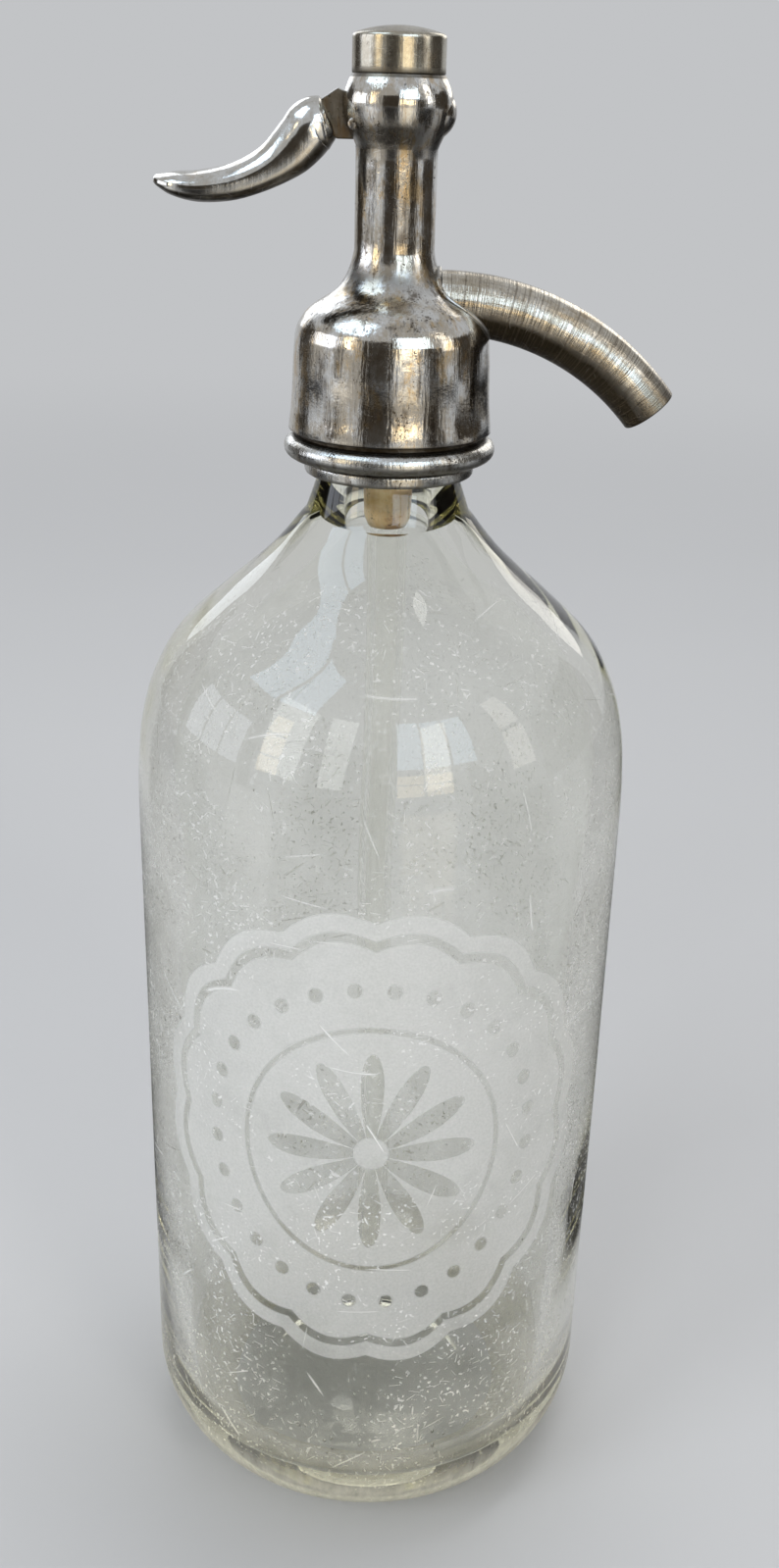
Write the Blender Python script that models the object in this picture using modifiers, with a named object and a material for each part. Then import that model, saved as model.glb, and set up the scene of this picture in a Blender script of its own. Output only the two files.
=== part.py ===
"""Soda siphon: a thick glass bottle with a lever-operated valve head.

The head holds a spring-closed valve. Pressing the outer end of the lever lifts its nose, the nose lifts
the plunger against the spring, and the gas in the bottle drives the water up the dip tube, past the
valve disc and out of the spout.

All lengths are in metres. The origin is the centre of the base, +Z is up, the spout points to +X and
the lever to -X.
"""

import math

import bmesh
import bpy
from mathutils import Matrix, Vector

NAME = "soda_siphon"

# Clearances and cutter overruns
SEAT_GAP = 0.0003
PIN_PLAY = 0.00015
OVERRUN = 0.002
MERGE = 0.000001
SHARP_ANGLE = math.radians(32.0)

# Facets round each kind of turned piece
BOTTLE_FACETS = 48
HEAD_FACETS = 32
RING_FACETS = 32
TUBE_FACETS = 24
SMALL_FACETS = 16
PIN_FACETS = 12

# Glass bottle: outer form
BOTTLE_RADIUS = 0.0498
HEEL_RADIUS = 0.0218
HEEL_STEPS = 8
PUSH_UP_RADIUS = 0.0235
PUSH_UP_RISE = 0.0026
MOUTH_HEIGHT = 0.2470
LIP_DEPTH = 0.0083
LIP_RADIUS = 0.0159
LIP_EDGE_RADIUS = 0.0012
LIP_EDGE_STEPS = 2
GROOVE_LENGTH = 0.0101
GROOVE_RADIUS = 0.0132
GROOVE_FILLET = 0.0006
NECK_FLARE_LENGTH = 0.0074
NECK_FOOT_RADIUS = 0.0157
SHOULDER_LENGTH = 0.0594
# How far the shoulder has drawn in at equal steps of its height
SHOULDER_DRAW_SHARES = (0.0, 0.0077, 0.0359, 0.1075, 0.2510, 0.5105, 0.7918, 1.0)
SHOULDER_STEPS = 2
# Heights down the bottle from its mouth
LIP_UNDERSIDE_HEIGHT = MOUTH_HEIGHT - LIP_DEPTH
GROOVE_HEIGHT = LIP_UNDERSIDE_HEIGHT - GROOVE_LENGTH
NECK_FOOT_HEIGHT = GROOVE_HEIGHT - NECK_FLARE_LENGTH
SHOULDER_HEIGHT = NECK_FOOT_HEIGHT - SHOULDER_LENGTH

# Glass bottle: inner form
WALL = 0.0070
BORE_RADIUS = 0.0092
FLOOR_THICKNESS = 0.0115
INNER_HEEL_RADIUS = 0.0150
INNER_HEEL_STEPS = 5
INNER_SHOULDER_DROP = 0.0023
INNER_NECK_DROP = 0.0042

# Split neck collar
COLLAR_LIP_HEIGHT = 0.0023
COLLAR_DEPTH = 0.0105
COLLAR_LIP_RADIUS = 0.0161
COLLAR_WAIST_RADIUS = 0.0153
COLLAR_WAIST_HEIGHT = 0.0007
BEAD_RADIUS = 0.0200
BEAD_HEIGHT = 0.0039
BEAD_STEPS = 6
COLLAR_THREAD_RADIUS = 0.0169
COLLAR_SPLIT = 0.0004

# Lining strip between collar and neck
CUSHION_THICKNESS = 0.0011
CUSHION_DROP = 0.0064
CUSHION_SLIT = 0.0016

# Head casting: bell
SKIRT_BOTTOM_GAP = 0.0011
SKIRT_RADIUS = 0.0191
SKIRT_THREAD_GAP = 0.0003
BELL_RADIUS = 0.0180
BELL_SHOULDER_RISE = 0.0065
BELL_SHOULDER_DEPTH = 0.0150
GASKET_THICKNESS = 0.0014
# Skirt flare: share of the widening, share of the skirt height up from its bottom
SKIRT_FLARE_SHARES = ((1.0, 0.0), (0.92, 0.09), (0.62, 0.26), (0.42, 0.46), (0.34, 0.66), (0.18, 0.84))
# Bell shoulder: share of the draw-in from bell to column left, share of the shoulder height
BELL_SHOULDER_SHARES = (
    (1.0, 0.0),
    (0.963, 0.100),
    (0.916, 0.167),
    (0.846, 0.240),
    (0.748, 0.313),
    (0.626, 0.377),
    (0.495, 0.433),
    (0.374, 0.490),
    (0.276, 0.550),
    (0.192, 0.627),
    (0.112, 0.727),
    (0.047, 0.853),
    (0.0, 1.0),
)

# Head casting: column and ball
COLUMN_RADIUS = 0.0073
COLUMN_LENGTH = 0.0170
BALL_DEPTH = 0.0120
BALL_RADIUS = 0.0098
# Ball: share of the swell from column to ball, share of the ball's height
BALL_SWELL_SHARES = (
    (0.0, 0.0),
    (0.16, 0.083),
    (0.43, 0.200),
    (0.714, 0.325),
    (0.91, 0.458),
    (1.0, 0.592),
    (0.946, 0.725),
    (0.75, 0.842),
    (0.54, 0.933),
    (0.38, 1.0),
)
LOBE_REACH = 0.0104
LOBE_HALF_LENGTH = 0.0068
LOBE_HALF_WIDTH = 0.0066
LOBE_HALF_HEIGHT = 0.0054
LOBE_RISE = 0.0061
LOBE_FACETS = 20
LOBE_RINGS = 10

# Head casting: hollows
COLUMN_BORE_RADIUS = 0.0050
CAP_BORE_RADIUS = 0.0067
CAP_BORE_DEPTH = 0.0045
CHAMBER_FLOOR_RISE = 0.0047
SOCKET_ROOF_RISE = 0.0006
TUBE_BOSS_WALL = 0.0016
TUBE_BOSS_LENGTH = 0.0118
SLOT_WIDTH = 0.0036
SLOT_SILL = 0.0003
SLOT_LINTEL = 0.0015
SPOUT_PASSAGE_RADIUS = 0.0036

# Valve seat bush
SEAT_BORE_RADIUS = 0.0022
SEAT_SHANK_RADIUS = 0.0031
SEAT_FLANGE_RADIUS = 0.0042
SEAT_FLANGE_THICKNESS = 0.0008
SEAT_LAND_RADIUS = 0.0030
SEAT_LAND_HEIGHT = 0.0005

# Ferrule, dip tube and its packing
DIP_TUBE_RADIUS = 0.0037
DIP_TUBE_BORE_RADIUS = 0.0021
DIP_TUBE_FLOOR_GAP = 0.0035
DIP_TUBE_FOOT_SLANT = math.radians(25.0)
FERRULE_WALL = 0.0008
FERRULE_REACH = 0.0318
FERRULE_LIP_HEIGHT = 0.0018
FERRULE_THREAD_RADIUS = 0.0057
FERRULE_THREAD_LENGTH = 0.0080
TUBE_PACKING_THICKNESS = 0.0024
TUBE_PACKING_BORE_RADIUS = 0.0024

# Spout
SPOUT_RISE = 0.0061
SPOUT_ROOT_RADIUS = 0.0057
SPOUT_TIP_RADIUS = 0.0053
SPOUT_BORE_RADIUS = 0.0037
SPOUT_ROOT_X = 0.0088
SPOUT_BEND_X = 0.0098
SPOUT_BEND_RADIUS = 0.0499
SPOUT_BEND_ANGLE = math.radians(51.3)
SPOUT_STEPS = 12
SPOUT_RESOLUTION = 8
SPOUT_BORE_RESOLUTION = 5

# Lever
LEVER_PIVOT_X = -0.0076
LEVER_PIVOT_RISE = 0.0040
LEVER_PIN_RADIUS = 0.0010
LEVER_PIN_LENGTH = 0.0102
LEVER_PIN_DOME = 0.0003
LEVER_TRAVEL = math.radians(15.0)
TANG_THICKNESS = 0.0030
TANG_HUB_RADIUS = 0.0026
TANG_TOP_RISE = 0.0057
TANG_TOP_REACH = 0.0029
TANG_FOOT_DROP = 0.0026
TANG_ROOT_REACH = 0.0062
TANG_ROOT_RISE = 0.0036
TANG_HUB_STEPS = 7
NOSE_RADIUS = 0.0013
NOSE_ARM_HALF = 0.0009
NOSE_STEPS = 8
HANDLE_REACH = 0.0356
HANDLE_DROP = 0.0102
HANDLE_DEPTH = 0.0104
HANDLE_WIDTH = 0.0126
HANDLE_SIDES = 20
HANDLE_HOLLOW_FIRST = 4
HANDLE_HOLLOW_LAST = 10
HANDLE_HOLLOW_WIDTH_SHARE = 0.62
HANDLE_HOLLOW_DEPTH_SHARE = 1.05
HANDLE_HOLLOW_FADE_SHARE = 0.8
HANDLE_FULLNESS_SHARE = 0.5
# Handle stations: share of reach, share of drop, share of half depth, share of half width
HANDLE_STATION_SHARES = (
    (0.107, -0.02, 0.36, 0.30),
    (0.124, 0.00, 0.63, 0.54),
    (0.152, 0.02, 0.85, 0.70),
    (0.206, 0.06, 0.91, 0.78),
    (0.253, 0.25, 0.89, 0.81),
    (0.315, 0.48, 0.85, 0.83),
    (0.397, 0.70, 0.74, 0.85),
    (0.503, 0.89, 0.66, 0.89),
    (0.621, 1.02, 0.60, 0.95),
    (0.770, 1.08, 0.52, 1.00),
    (0.888, 1.05, 0.41, 0.90),
    (0.955, 1.01, 0.26, 0.66),
    (0.992, 0.98, 0.14, 0.36),
)

# Valve spindle, its disc and its packing
WASHER_RADIUS = 0.0036
WASHER_THICKNESS = 0.0020
SCREW_SHANK_RADIUS = 0.0009
SCREW_HEAD_RADIUS = 0.0016
SCREW_HEAD_HEIGHT = 0.0010
SCREW_LENGTH = 0.0052
SCREW_SLOT_WIDTH = 0.0005
SCREW_SLOT_DEPTH = 0.0005
FOOT_RADIUS = 0.0040
FOOT_THICKNESS = 0.0022
SPINDLE_RADIUS = 0.0018
PISTON_RADIUS = 0.0037
PISTON_HEIGHT = 0.0032
PISTON_RISE = 0.0109
SPINDLE_THREAD_RADIUS = 0.0019
SPINDLE_THREAD_LENGTH = 0.0094
CUP_WALL = 0.0007
CUP_BASE_THICKNESS = 0.0010
CUP_SKIRT_SHARE = 0.75
BACKING_WASHER_THICKNESS = 0.0010

# Plunger head
PLUNGER_RADIUS = 0.0044
PLUNGER_HEAD_RISE = 0.0022
PLUNGER_SPIGOT_RADIUS = 0.0026
PLUNGER_SPIGOT_LENGTH = 0.0036
PLUNGER_EDGE = 0.0004

# Return spring
SPRING_RADIUS = 0.0036
SPRING_WIRE_RADIUS = 0.00045
SPRING_TURNS = 6
SPRING_POINTS = 10
SPRING_RESOLUTION = 1

# Top cap
CAP_RADIUS = 0.0082
CAP_SIDE_HEIGHT = 0.0058
CAP_DOME_RISE = 0.0017
CAP_DOME_STEPS = 5
CAP_EDGE = 0.0005
CAP_WALL = 0.0018
CAP_ROOF = 0.0022
CAP_WASHER_THICKNESS = 0.0010
CAP_WASHER_BORE_RADIUS = 0.0053

# Places that follow from the sizes above
COLLAR_LIP_BOTTOM = LIP_UNDERSIDE_HEIGHT - COLLAR_DEPTH
BELL_SHOULDER_HEIGHT = MOUTH_HEIGHT + BELL_SHOULDER_RISE
COLUMN_FOOT_HEIGHT = BELL_SHOULDER_HEIGHT + BELL_SHOULDER_DEPTH
BALL_BOTTOM_HEIGHT = COLUMN_FOOT_HEIGHT + COLUMN_LENGTH
BALL_TOP_HEIGHT = BALL_BOTTOM_HEIGHT + BALL_DEPTH
LOBE_HEIGHT = BALL_BOTTOM_HEIGHT + LOBE_RISE
CHAMBER_FLOOR_HEIGHT = MOUTH_HEIGHT + CHAMBER_FLOOR_RISE
SOCKET_ROOF_HEIGHT = MOUTH_HEIGHT + SOCKET_ROOF_RISE
SLOT_BOTTOM_HEIGHT = BALL_BOTTOM_HEIGHT + SLOT_SILL
SLOT_TOP_HEIGHT = BALL_TOP_HEIGHT - SLOT_LINTEL
FERRULE_BOTTOM_HEIGHT = MOUTH_HEIGHT - FERRULE_REACH
SPOUT_HEIGHT = BELL_SHOULDER_HEIGHT + SPOUT_RISE
LEVER_PIVOT_HEIGHT = BALL_BOTTOM_HEIGHT + LEVER_PIVOT_RISE
PISTON_BOTTOM_HEIGHT = CHAMBER_FLOOR_HEIGHT + PISTON_RISE
PLUNGER_TOP_HEIGHT = LEVER_PIVOT_HEIGHT + PLUNGER_HEAD_RISE
INNER_RADIUS = BOTTLE_RADIUS - WALL
COLLAR_BEAD_BOTTOM = COLLAR_LIP_BOTTOM + COLLAR_LIP_HEIGHT + COLLAR_WAIST_HEIGHT
COLLAR_BEAD_TOP = COLLAR_BEAD_BOTTOM + BEAD_HEIGHT
COLLAR_TOP = LIP_UNDERSIDE_HEIGHT - SEAT_GAP
COLLAR_BORE_RADIUS = GROOVE_RADIUS + SEAT_GAP
CUSHION_RADIUS = COLLAR_BORE_RADIUS + CUSHION_THICKNESS
SKIRT_BOTTOM_HEIGHT = COLLAR_BEAD_TOP + SKIRT_BOTTOM_GAP
SKIRT_BORE_RADIUS = COLLAR_THREAD_RADIUS + SKIRT_THREAD_GAP
BELL_CEILING_HEIGHT = MOUTH_HEIGHT + GASKET_THICKNESS + 2 * SEAT_GAP
SOCKET_RADIUS = FERRULE_THREAD_RADIUS + SEAT_GAP
TUBE_BOSS_BOTTOM = BELL_CEILING_HEIGHT - TUBE_BOSS_LENGTH
SEAT_HOLE_RADIUS = SEAT_SHANK_RADIUS + SEAT_GAP
SEAT_TOP_HEIGHT = CHAMBER_FLOOR_HEIGHT + SEAT_GAP + SEAT_FLANGE_THICKNESS + SEAT_LAND_HEIGHT
TUBE_PACKING_BOTTOM = SOCKET_ROOF_HEIGHT - SEAT_GAP - TUBE_PACKING_THICKNESS
FERRULE_TOP_HEIGHT = TUBE_PACKING_BOTTOM - SEAT_GAP
FERRULE_BORE_RADIUS = DIP_TUBE_RADIUS + SEAT_GAP
FERRULE_RADIUS = FERRULE_BORE_RADIUS + FERRULE_WALL
WASHER_BOTTOM_HEIGHT = SEAT_TOP_HEIGHT + SEAT_GAP
FOOT_BOTTOM_HEIGHT = WASHER_BOTTOM_HEIGHT + WASHER_THICKNESS + SEAT_GAP
SCREW_HOLE_RADIUS = SCREW_SHANK_RADIUS + SEAT_GAP
PISTON_TOP_HEIGHT = PISTON_BOTTOM_HEIGHT + PISTON_HEIGHT
CUP_RADIUS = COLUMN_BORE_RADIUS - SEAT_GAP
CUP_BASE_HEIGHT = PISTON_TOP_HEIGHT + SEAT_GAP
THREAD_HOLE_RADIUS = SPINDLE_THREAD_RADIUS + SEAT_GAP
BACKING_WASHER_HEIGHT = CUP_BASE_HEIGHT + CUP_BASE_THICKNESS + SEAT_GAP
PLUNGER_BOTTOM_HEIGHT = BACKING_WASHER_HEIGHT + BACKING_WASHER_THICKNESS + SEAT_GAP
NOSE_ARM_LENGTH = abs(LEVER_PIVOT_X) / math.cos(LEVER_TRAVEL / 2)
NOSE_DROP = NOSE_ARM_LENGTH * math.sin(LEVER_TRAVEL / 2)
NOSE_HEIGHT = LEVER_PIVOT_HEIGHT - NOSE_DROP
WINDOW_HALF_HEIGHT = NOSE_RADIUS + SEAT_GAP
WINDOW_WIDTH = TANG_THICKNESS + 2 * SEAT_GAP
PIN_HOLE_RADIUS = LEVER_PIN_RADIUS + PIN_PLAY
CAP_BORE_FLOOR = BALL_TOP_HEIGHT - CAP_BORE_DEPTH
CAP_SPIGOT_RADIUS = CAP_BORE_RADIUS - SEAT_GAP
CAP_WASHER_BOTTOM = CAP_BORE_FLOOR + SEAT_GAP
CAP_SPIGOT_BOTTOM = CAP_WASHER_BOTTOM + CAP_WASHER_THICKNESS + SEAT_GAP
CAP_SEAM_HEIGHT = BALL_TOP_HEIGHT + SEAT_GAP
CAP_SIDE_TOP = CAP_SEAM_HEIGHT + CAP_SIDE_HEIGHT
CAP_TOP_HEIGHT = CAP_SIDE_TOP + CAP_DOME_RISE
CAP_CAVITY_RADIUS = CAP_SPIGOT_RADIUS - CAP_WALL
CAP_CAVITY_TOP = CAP_TOP_HEIGHT - CAP_DOME_RISE - CAP_ROOF
SPRING_BOTTOM_HEIGHT = PLUNGER_TOP_HEIGHT + SEAT_GAP
SPRING_TOP_HEIGHT = CAP_CAVITY_TOP - SEAT_GAP

# Colour, roughness and metallic value of each finish
FINISHES = {
    "bottle_glass": ((0.80, 0.84, 0.78), 0.05, 0.0, 1.0),
    "tube_glass": ((0.88, 0.90, 0.86), 0.08, 0.0, 1.0),
    "worn_nickel": ((0.60, 0.57, 0.51), 0.22, 1.0, 0.0),
    "collar_nickel": ((0.52, 0.51, 0.48), 0.26, 1.0, 0.0),
    "lever_nickel": ((0.66, 0.63, 0.57), 0.18, 1.0, 0.0),
    "cap_nickel": ((0.50, 0.45, 0.37), 0.25, 1.0, 0.0),
    "aged_brown": ((0.22, 0.12, 0.05), 0.60, 0.0, 0.0),
    "brass": ((0.62, 0.46, 0.20), 0.30, 1.0, 0.0),
    "rubber": ((0.05, 0.05, 0.05), 0.75, 0.0, 0.0),
    "leather": ((0.20, 0.11, 0.05), 0.80, 0.0, 0.0),
    "fibre": ((0.32, 0.10, 0.07), 0.70, 0.0, 0.0),
    "spring_steel": ((0.45, 0.45, 0.46), 0.30, 1.0, 0.0),
    "pin_steel": ((0.42, 0.41, 0.39), 0.30, 1.0, 0.0),
}


def clear_scene():
    """Remove every object of the scene."""
    for obj in list(bpy.data.objects):
        bpy.data.objects.remove(obj, do_unlink=True)


def new_collection(name):
    """Make a collection under the scene."""
    home = bpy.data.collections.new(name)
    bpy.context.scene.collection.children.link(home)
    return home


def make_material(name, finish):
    """Make one Principled material from a named finish."""
    colour, roughness, metallic, transmission = FINISHES[finish]
    material = bpy.data.materials.new(name)
    material.use_nodes = True
    shader = material.node_tree.nodes["Principled BSDF"]
    shader.inputs["Base Color"].default_value = (*colour, 1.0)
    shader.inputs["Roughness"].default_value = roughness
    shader.inputs["Metallic"].default_value = metallic
    shader.inputs["Transmission Weight"].default_value = transmission
    return material


def arc(centre_r, centre_z, radius, start, end, steps):
    """Points of a circular arc in the profile plane, angles in degrees from +R towards +Z."""
    points = []
    for step in range(steps + 1):
        angle = math.radians(start + (end - start) * step / steps)
        points.append((centre_r + radius * math.cos(angle), centre_z + radius * math.sin(angle)))
    return points


def smooth_shares(shares, substeps):
    """Read a smooth curve through equally spaced shares, as (place, share) pairs."""
    ends = (shares[0], *shares, 2 * shares[-1] - shares[-2])
    curve = []
    for index in range(len(shares) - 1):
        before, first, second, after = ends[index:index + 4]
        for step in range(substeps):
            t = step / substeps
            value = 0.5 * (
                2 * first
                + (second - before) * t
                + (2 * before - 5 * first + 4 * second - after) * t ** 2
                + (3 * first - before - 3 * second + after) * t ** 3
            )
            curve.append(((index + t) / (len(shares) - 1), value))
    curve.append((1.0, shares[-1]))
    return curve


def link_mesh(name, mesh, home):
    """Make an object of a mesh in a collection."""
    obj = bpy.data.objects.new(name, mesh)
    home.objects.link(obj)
    return obj


def turned(name, outline, facets, home, closed=True):
    """Turn an outline of (radius, height) points about Z; its outer side runs down."""
    points = [outline[0]]
    for point in outline[1:]:
        if math.dist(point, points[-1]) > MERGE:
            points.append(point)
    edges = [(index, index + 1) for index in range(len(points) - 1)]
    if closed:
        edges.append((len(points) - 1, 0))
    mesh = bpy.data.meshes.new(name)
    mesh.from_pydata([(radius, 0.0, height) for radius, height in points], edges, [])
    obj = link_mesh(name, mesh, home)
    screw = obj.modifiers.new("Turn", "SCREW")
    screw.axis = "Z"
    screw.angle = math.tau
    screw.steps = facets
    screw.render_steps = facets
    screw.use_merge_vertices = True
    screw.merge_threshold = MERGE
    screw.use_smooth_shade = True
    return obj


def ring(name, inner, outer, bottom, top, facets, home):
    """Turn a plain square-edged ring."""
    return turned(name, [(outer, top), (outer, bottom), (inner, bottom), (inner, top)], facets, home)


def box(name, low, high, home):
    """Make a box from its low and high corners."""
    mesh = bpy.data.meshes.new(name)
    shape = bmesh.new()
    bmesh.ops.create_cube(shape, size=1.0)
    size = [b - a for a, b in zip(low, high)]
    middle = [(a + b) / 2 for a, b in zip(low, high)]
    bmesh.ops.scale(shape, vec=size, verts=shape.verts)
    bmesh.ops.translate(shape, vec=middle, verts=shape.verts)
    shape.to_mesh(mesh)
    shape.free()
    return link_mesh(name, mesh, home)


def rod(name, radius, length, facets, home):
    """Make a cylinder along Z about its own origin."""
    mesh = bpy.data.meshes.new(name)
    shape = bmesh.new()
    bmesh.ops.create_cone(shape, cap_ends=True, segments=facets, radius1=radius, radius2=radius, depth=length)
    shape.to_mesh(mesh)
    shape.free()
    return link_mesh(name, mesh, home)


def bake(obj):
    """Turn an object's modifiers into its mesh and shade it smooth up to the sharp angle."""
    bpy.context.view_layer.update()
    depsgraph = bpy.context.evaluated_depsgraph_get()
    mesh = bpy.data.meshes.new_from_object(obj.evaluated_get(depsgraph))
    obj.modifiers.clear()
    obj.data = mesh
    mesh.shade_smooth()
    mesh.set_sharp_from_angle(angle=SHARP_ANGLE)


def combine(obj, tool, operation):
    """Add an exact Boolean with a cutter or a joined form, which stays as a guide."""
    tool.hide_render = True
    tool.display_type = "WIRE"
    modifier = obj.modifiers.new(tool.name, "BOOLEAN")
    modifier.operation = operation
    modifier.solver = "EXACT"
    modifier.object = tool


def tube(name, points, radii, resolution, home):
    """Make a filled tube along points, with a radius at each, as a welded mesh."""
    curve = bpy.data.curves.new(name, "CURVE")
    curve.dimensions = "3D"
    curve.bevel_depth = max(radii)
    curve.bevel_resolution = resolution
    curve.use_fill_caps = True
    spline = curve.splines.new("POLY")
    spline.points.add(len(points) - 1)
    for spot, place, radius in zip(spline.points, points, radii):
        spot.co = (*place, 1.0)
        spot.radius = radius / max(radii)
    guide = bpy.data.objects.new(name + "_guide", curve)
    home.objects.link(guide)
    bpy.context.view_layer.update()
    depsgraph = bpy.context.evaluated_depsgraph_get()
    mesh = bpy.data.meshes.new_from_object(guide.evaluated_get(depsgraph))
    mesh.name = name
    shape = bmesh.new()
    shape.from_mesh(mesh)
    bmesh.ops.remove_doubles(shape, verts=shape.verts, dist=MERGE)
    shape.to_mesh(mesh)
    shape.free()
    obj = link_mesh(name, mesh, home)
    obj.matrix_world = guide.matrix_world
    bpy.data.objects.remove(guide, do_unlink=True)
    return obj


def loft(name, sections, home):
    """Skin closed sections of equal point count, with a flat face at each end."""
    mesh = bpy.data.meshes.new(name)
    shape = bmesh.new()
    rings = [[shape.verts.new(point) for point in section] for section in sections]
    count = len(rings[0])
    for near, far in zip(rings, rings[1:]):
        for index in range(count):
            after = (index + 1) % count
            shape.faces.new((near[index], near[after], far[after], far[index]))
    shape.faces.new(reversed(rings[0]))
    shape.faces.new(rings[-1])
    bmesh.ops.recalc_face_normals(shape, faces=shape.faces)
    shape.to_mesh(mesh)
    shape.free()
    return link_mesh(name, mesh, home)


def plate(name, outline, thickness, home):
    """Extrude an outline of (x, z) points to both sides of the XZ plane."""
    curve = bpy.data.curves.new(name, "CURVE")
    curve.dimensions = "2D"
    curve.fill_mode = "BOTH"
    curve.extrude = thickness / 2
    spline = curve.splines.new("POLY")
    spline.points.add(len(outline) - 1)
    for spot, (x, z) in zip(spline.points, outline):
        spot.co = (x, z, 0.0, 1.0)
    spline.use_cyclic_u = True
    guide = bpy.data.objects.new(name + "_guide", curve)
    home.objects.link(guide)
    guide.matrix_world = Matrix.Rotation(math.radians(90.0), 4, "X")
    bpy.context.view_layer.update()
    depsgraph = bpy.context.evaluated_depsgraph_get()
    mesh = bpy.data.meshes.new_from_object(guide.evaluated_get(depsgraph))
    mesh.transform(guide.matrix_world)
    shape = bmesh.new()
    shape.from_mesh(mesh)
    bmesh.ops.remove_doubles(shape, verts=shape.verts, dist=MERGE)
    shape.to_mesh(mesh)
    shape.free()
    bpy.data.objects.remove(guide, do_unlink=True)
    return link_mesh(name, mesh, home)


def set_origin(obj, place):
    """Move an object's origin to a place and leave its shape where it is."""
    obj.data.transform(Matrix.Translation(-Vector(place)))
    obj.location = place


class Siphon:
    """Builds every piece of the siphon into one collection."""

    def __init__(self):
        clear_scene()
        self.parts = new_collection(NAME)
        self.cutters = new_collection(NAME + "_cutters")
        self.root = bpy.data.objects.new(NAME + "_frame", None)
        self.parts.objects.link(self.root)

    def finish(self, obj, finish, parent=None):
        """Bake a piece, give it its material and hang it under its parent."""
        bake(obj)
        obj.data.materials.clear()
        obj.data.materials.append(make_material(obj.name, finish))
        obj.parent = parent or self.root

    def cut(self, obj, cutter):
        """Cut a cutter out of a piece."""
        combine(obj, cutter, "DIFFERENCE")

    def bottle(self):
        """Turn the bottle: inner floor, inner wall, mouth, outer wall, heel, push-up."""
        curve = smooth_shares(SHOULDER_DRAW_SHARES, SHOULDER_STEPS)
        inner_start = SHOULDER_HEIGHT - INNER_SHOULDER_DROP
        inner_rise = NECK_FOOT_HEIGHT - INNER_NECK_DROP - inner_start
        inner_draw = INNER_RADIUS - BORE_RADIUS
        outline = [(0.0, FLOOR_THICKNESS + PUSH_UP_RISE)]
        heel_r = INNER_RADIUS - INNER_HEEL_RADIUS
        heel_z = FLOOR_THICKNESS + INNER_HEEL_RADIUS
        outline += arc(heel_r, heel_z, INNER_HEEL_RADIUS, -90, 0, INNER_HEEL_STEPS)
        outline += [
            (INNER_RADIUS - inner_draw * share, inner_start + inner_rise * place) for place, share in curve
        ]
        edge_z = MOUTH_HEIGHT - LIP_EDGE_RADIUS
        outline += arc(BORE_RADIUS + LIP_EDGE_RADIUS, edge_z, LIP_EDGE_RADIUS, 180, 90, LIP_EDGE_STEPS)
        outline += arc(LIP_RADIUS - LIP_EDGE_RADIUS, edge_z, LIP_EDGE_RADIUS, 90, 0, LIP_EDGE_STEPS)
        under_z = LIP_UNDERSIDE_HEIGHT + LIP_EDGE_RADIUS
        outline += arc(LIP_RADIUS - LIP_EDGE_RADIUS, under_z, LIP_EDGE_RADIUS, 0, -90, LIP_EDGE_STEPS)
        outline.append((GROOVE_RADIUS, LIP_UNDERSIDE_HEIGHT))
        outline.append((GROOVE_RADIUS, GROOVE_HEIGHT + GROOVE_FILLET))
        rise = NECK_FOOT_HEIGHT - SHOULDER_HEIGHT
        draw = BOTTLE_RADIUS - NECK_FOOT_RADIUS
        outline += [
            (BOTTLE_RADIUS - draw * share, SHOULDER_HEIGHT + rise * place) for place, share in reversed(curve)
        ]
        outline += arc(BOTTLE_RADIUS - HEEL_RADIUS, HEEL_RADIUS, HEEL_RADIUS, 0, -90, HEEL_STEPS)
        outline += [(PUSH_UP_RADIUS, 0.0), (PUSH_UP_RADIUS / 2, PUSH_UP_RISE * 3 / 4), (0.0, PUSH_UP_RISE)]
        piece = turned("glass_bottle", outline, BOTTLE_FACETS, self.parts, closed=False)
        self.finish(piece, "bottle_glass")

    def collar(self):
        """Turn the collar and split it into a front and a back half."""
        bead_mid = (COLLAR_BEAD_BOTTOM + COLLAR_BEAD_TOP) / 2
        bead_r = BEAD_RADIUS - BEAD_HEIGHT / 2
        waist_z = COLLAR_LIP_BOTTOM + COLLAR_LIP_HEIGHT
        outline = [(COLLAR_THREAD_RADIUS, COLLAR_TOP), (COLLAR_THREAD_RADIUS, COLLAR_BEAD_TOP)]
        outline += arc(bead_r, bead_mid, BEAD_HEIGHT / 2, 90, -90, BEAD_STEPS)
        outline += [
            (COLLAR_WAIST_RADIUS, COLLAR_BEAD_BOTTOM),
            (COLLAR_WAIST_RADIUS, waist_z),
            (COLLAR_LIP_RADIUS, waist_z),
            (COLLAR_LIP_RADIUS, COLLAR_LIP_BOTTOM),
            (COLLAR_BORE_RADIUS + SEAT_GAP, COLLAR_LIP_BOTTOM),
        ]
        recess_bottom = COLLAR_TOP - CUSHION_DROP - SEAT_GAP
        recess_r = CUSHION_RADIUS + SEAT_GAP
        outline += [
            (COLLAR_BORE_RADIUS, recess_bottom),
            (recess_r, recess_bottom),
            (recess_r, COLLAR_TOP),
        ]
        reach = BEAD_RADIUS + OVERRUN
        low_z = COLLAR_LIP_BOTTOM - OVERRUN
        high_z = COLLAR_TOP + OVERRUN
        for name, side in (("neck_collar_front", -1), ("neck_collar_back", 1)):
            piece = turned(name, outline, RING_FACETS, self.parts)
            edges = sorted((side * COLLAR_SPLIT / 2, -side * reach))
            cutter = box(name + "_split", (-reach, edges[0], low_z), (reach, edges[1], high_z), self.cutters)
            self.cut(piece, cutter)
            self.finish(piece, "collar_nickel")

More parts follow.
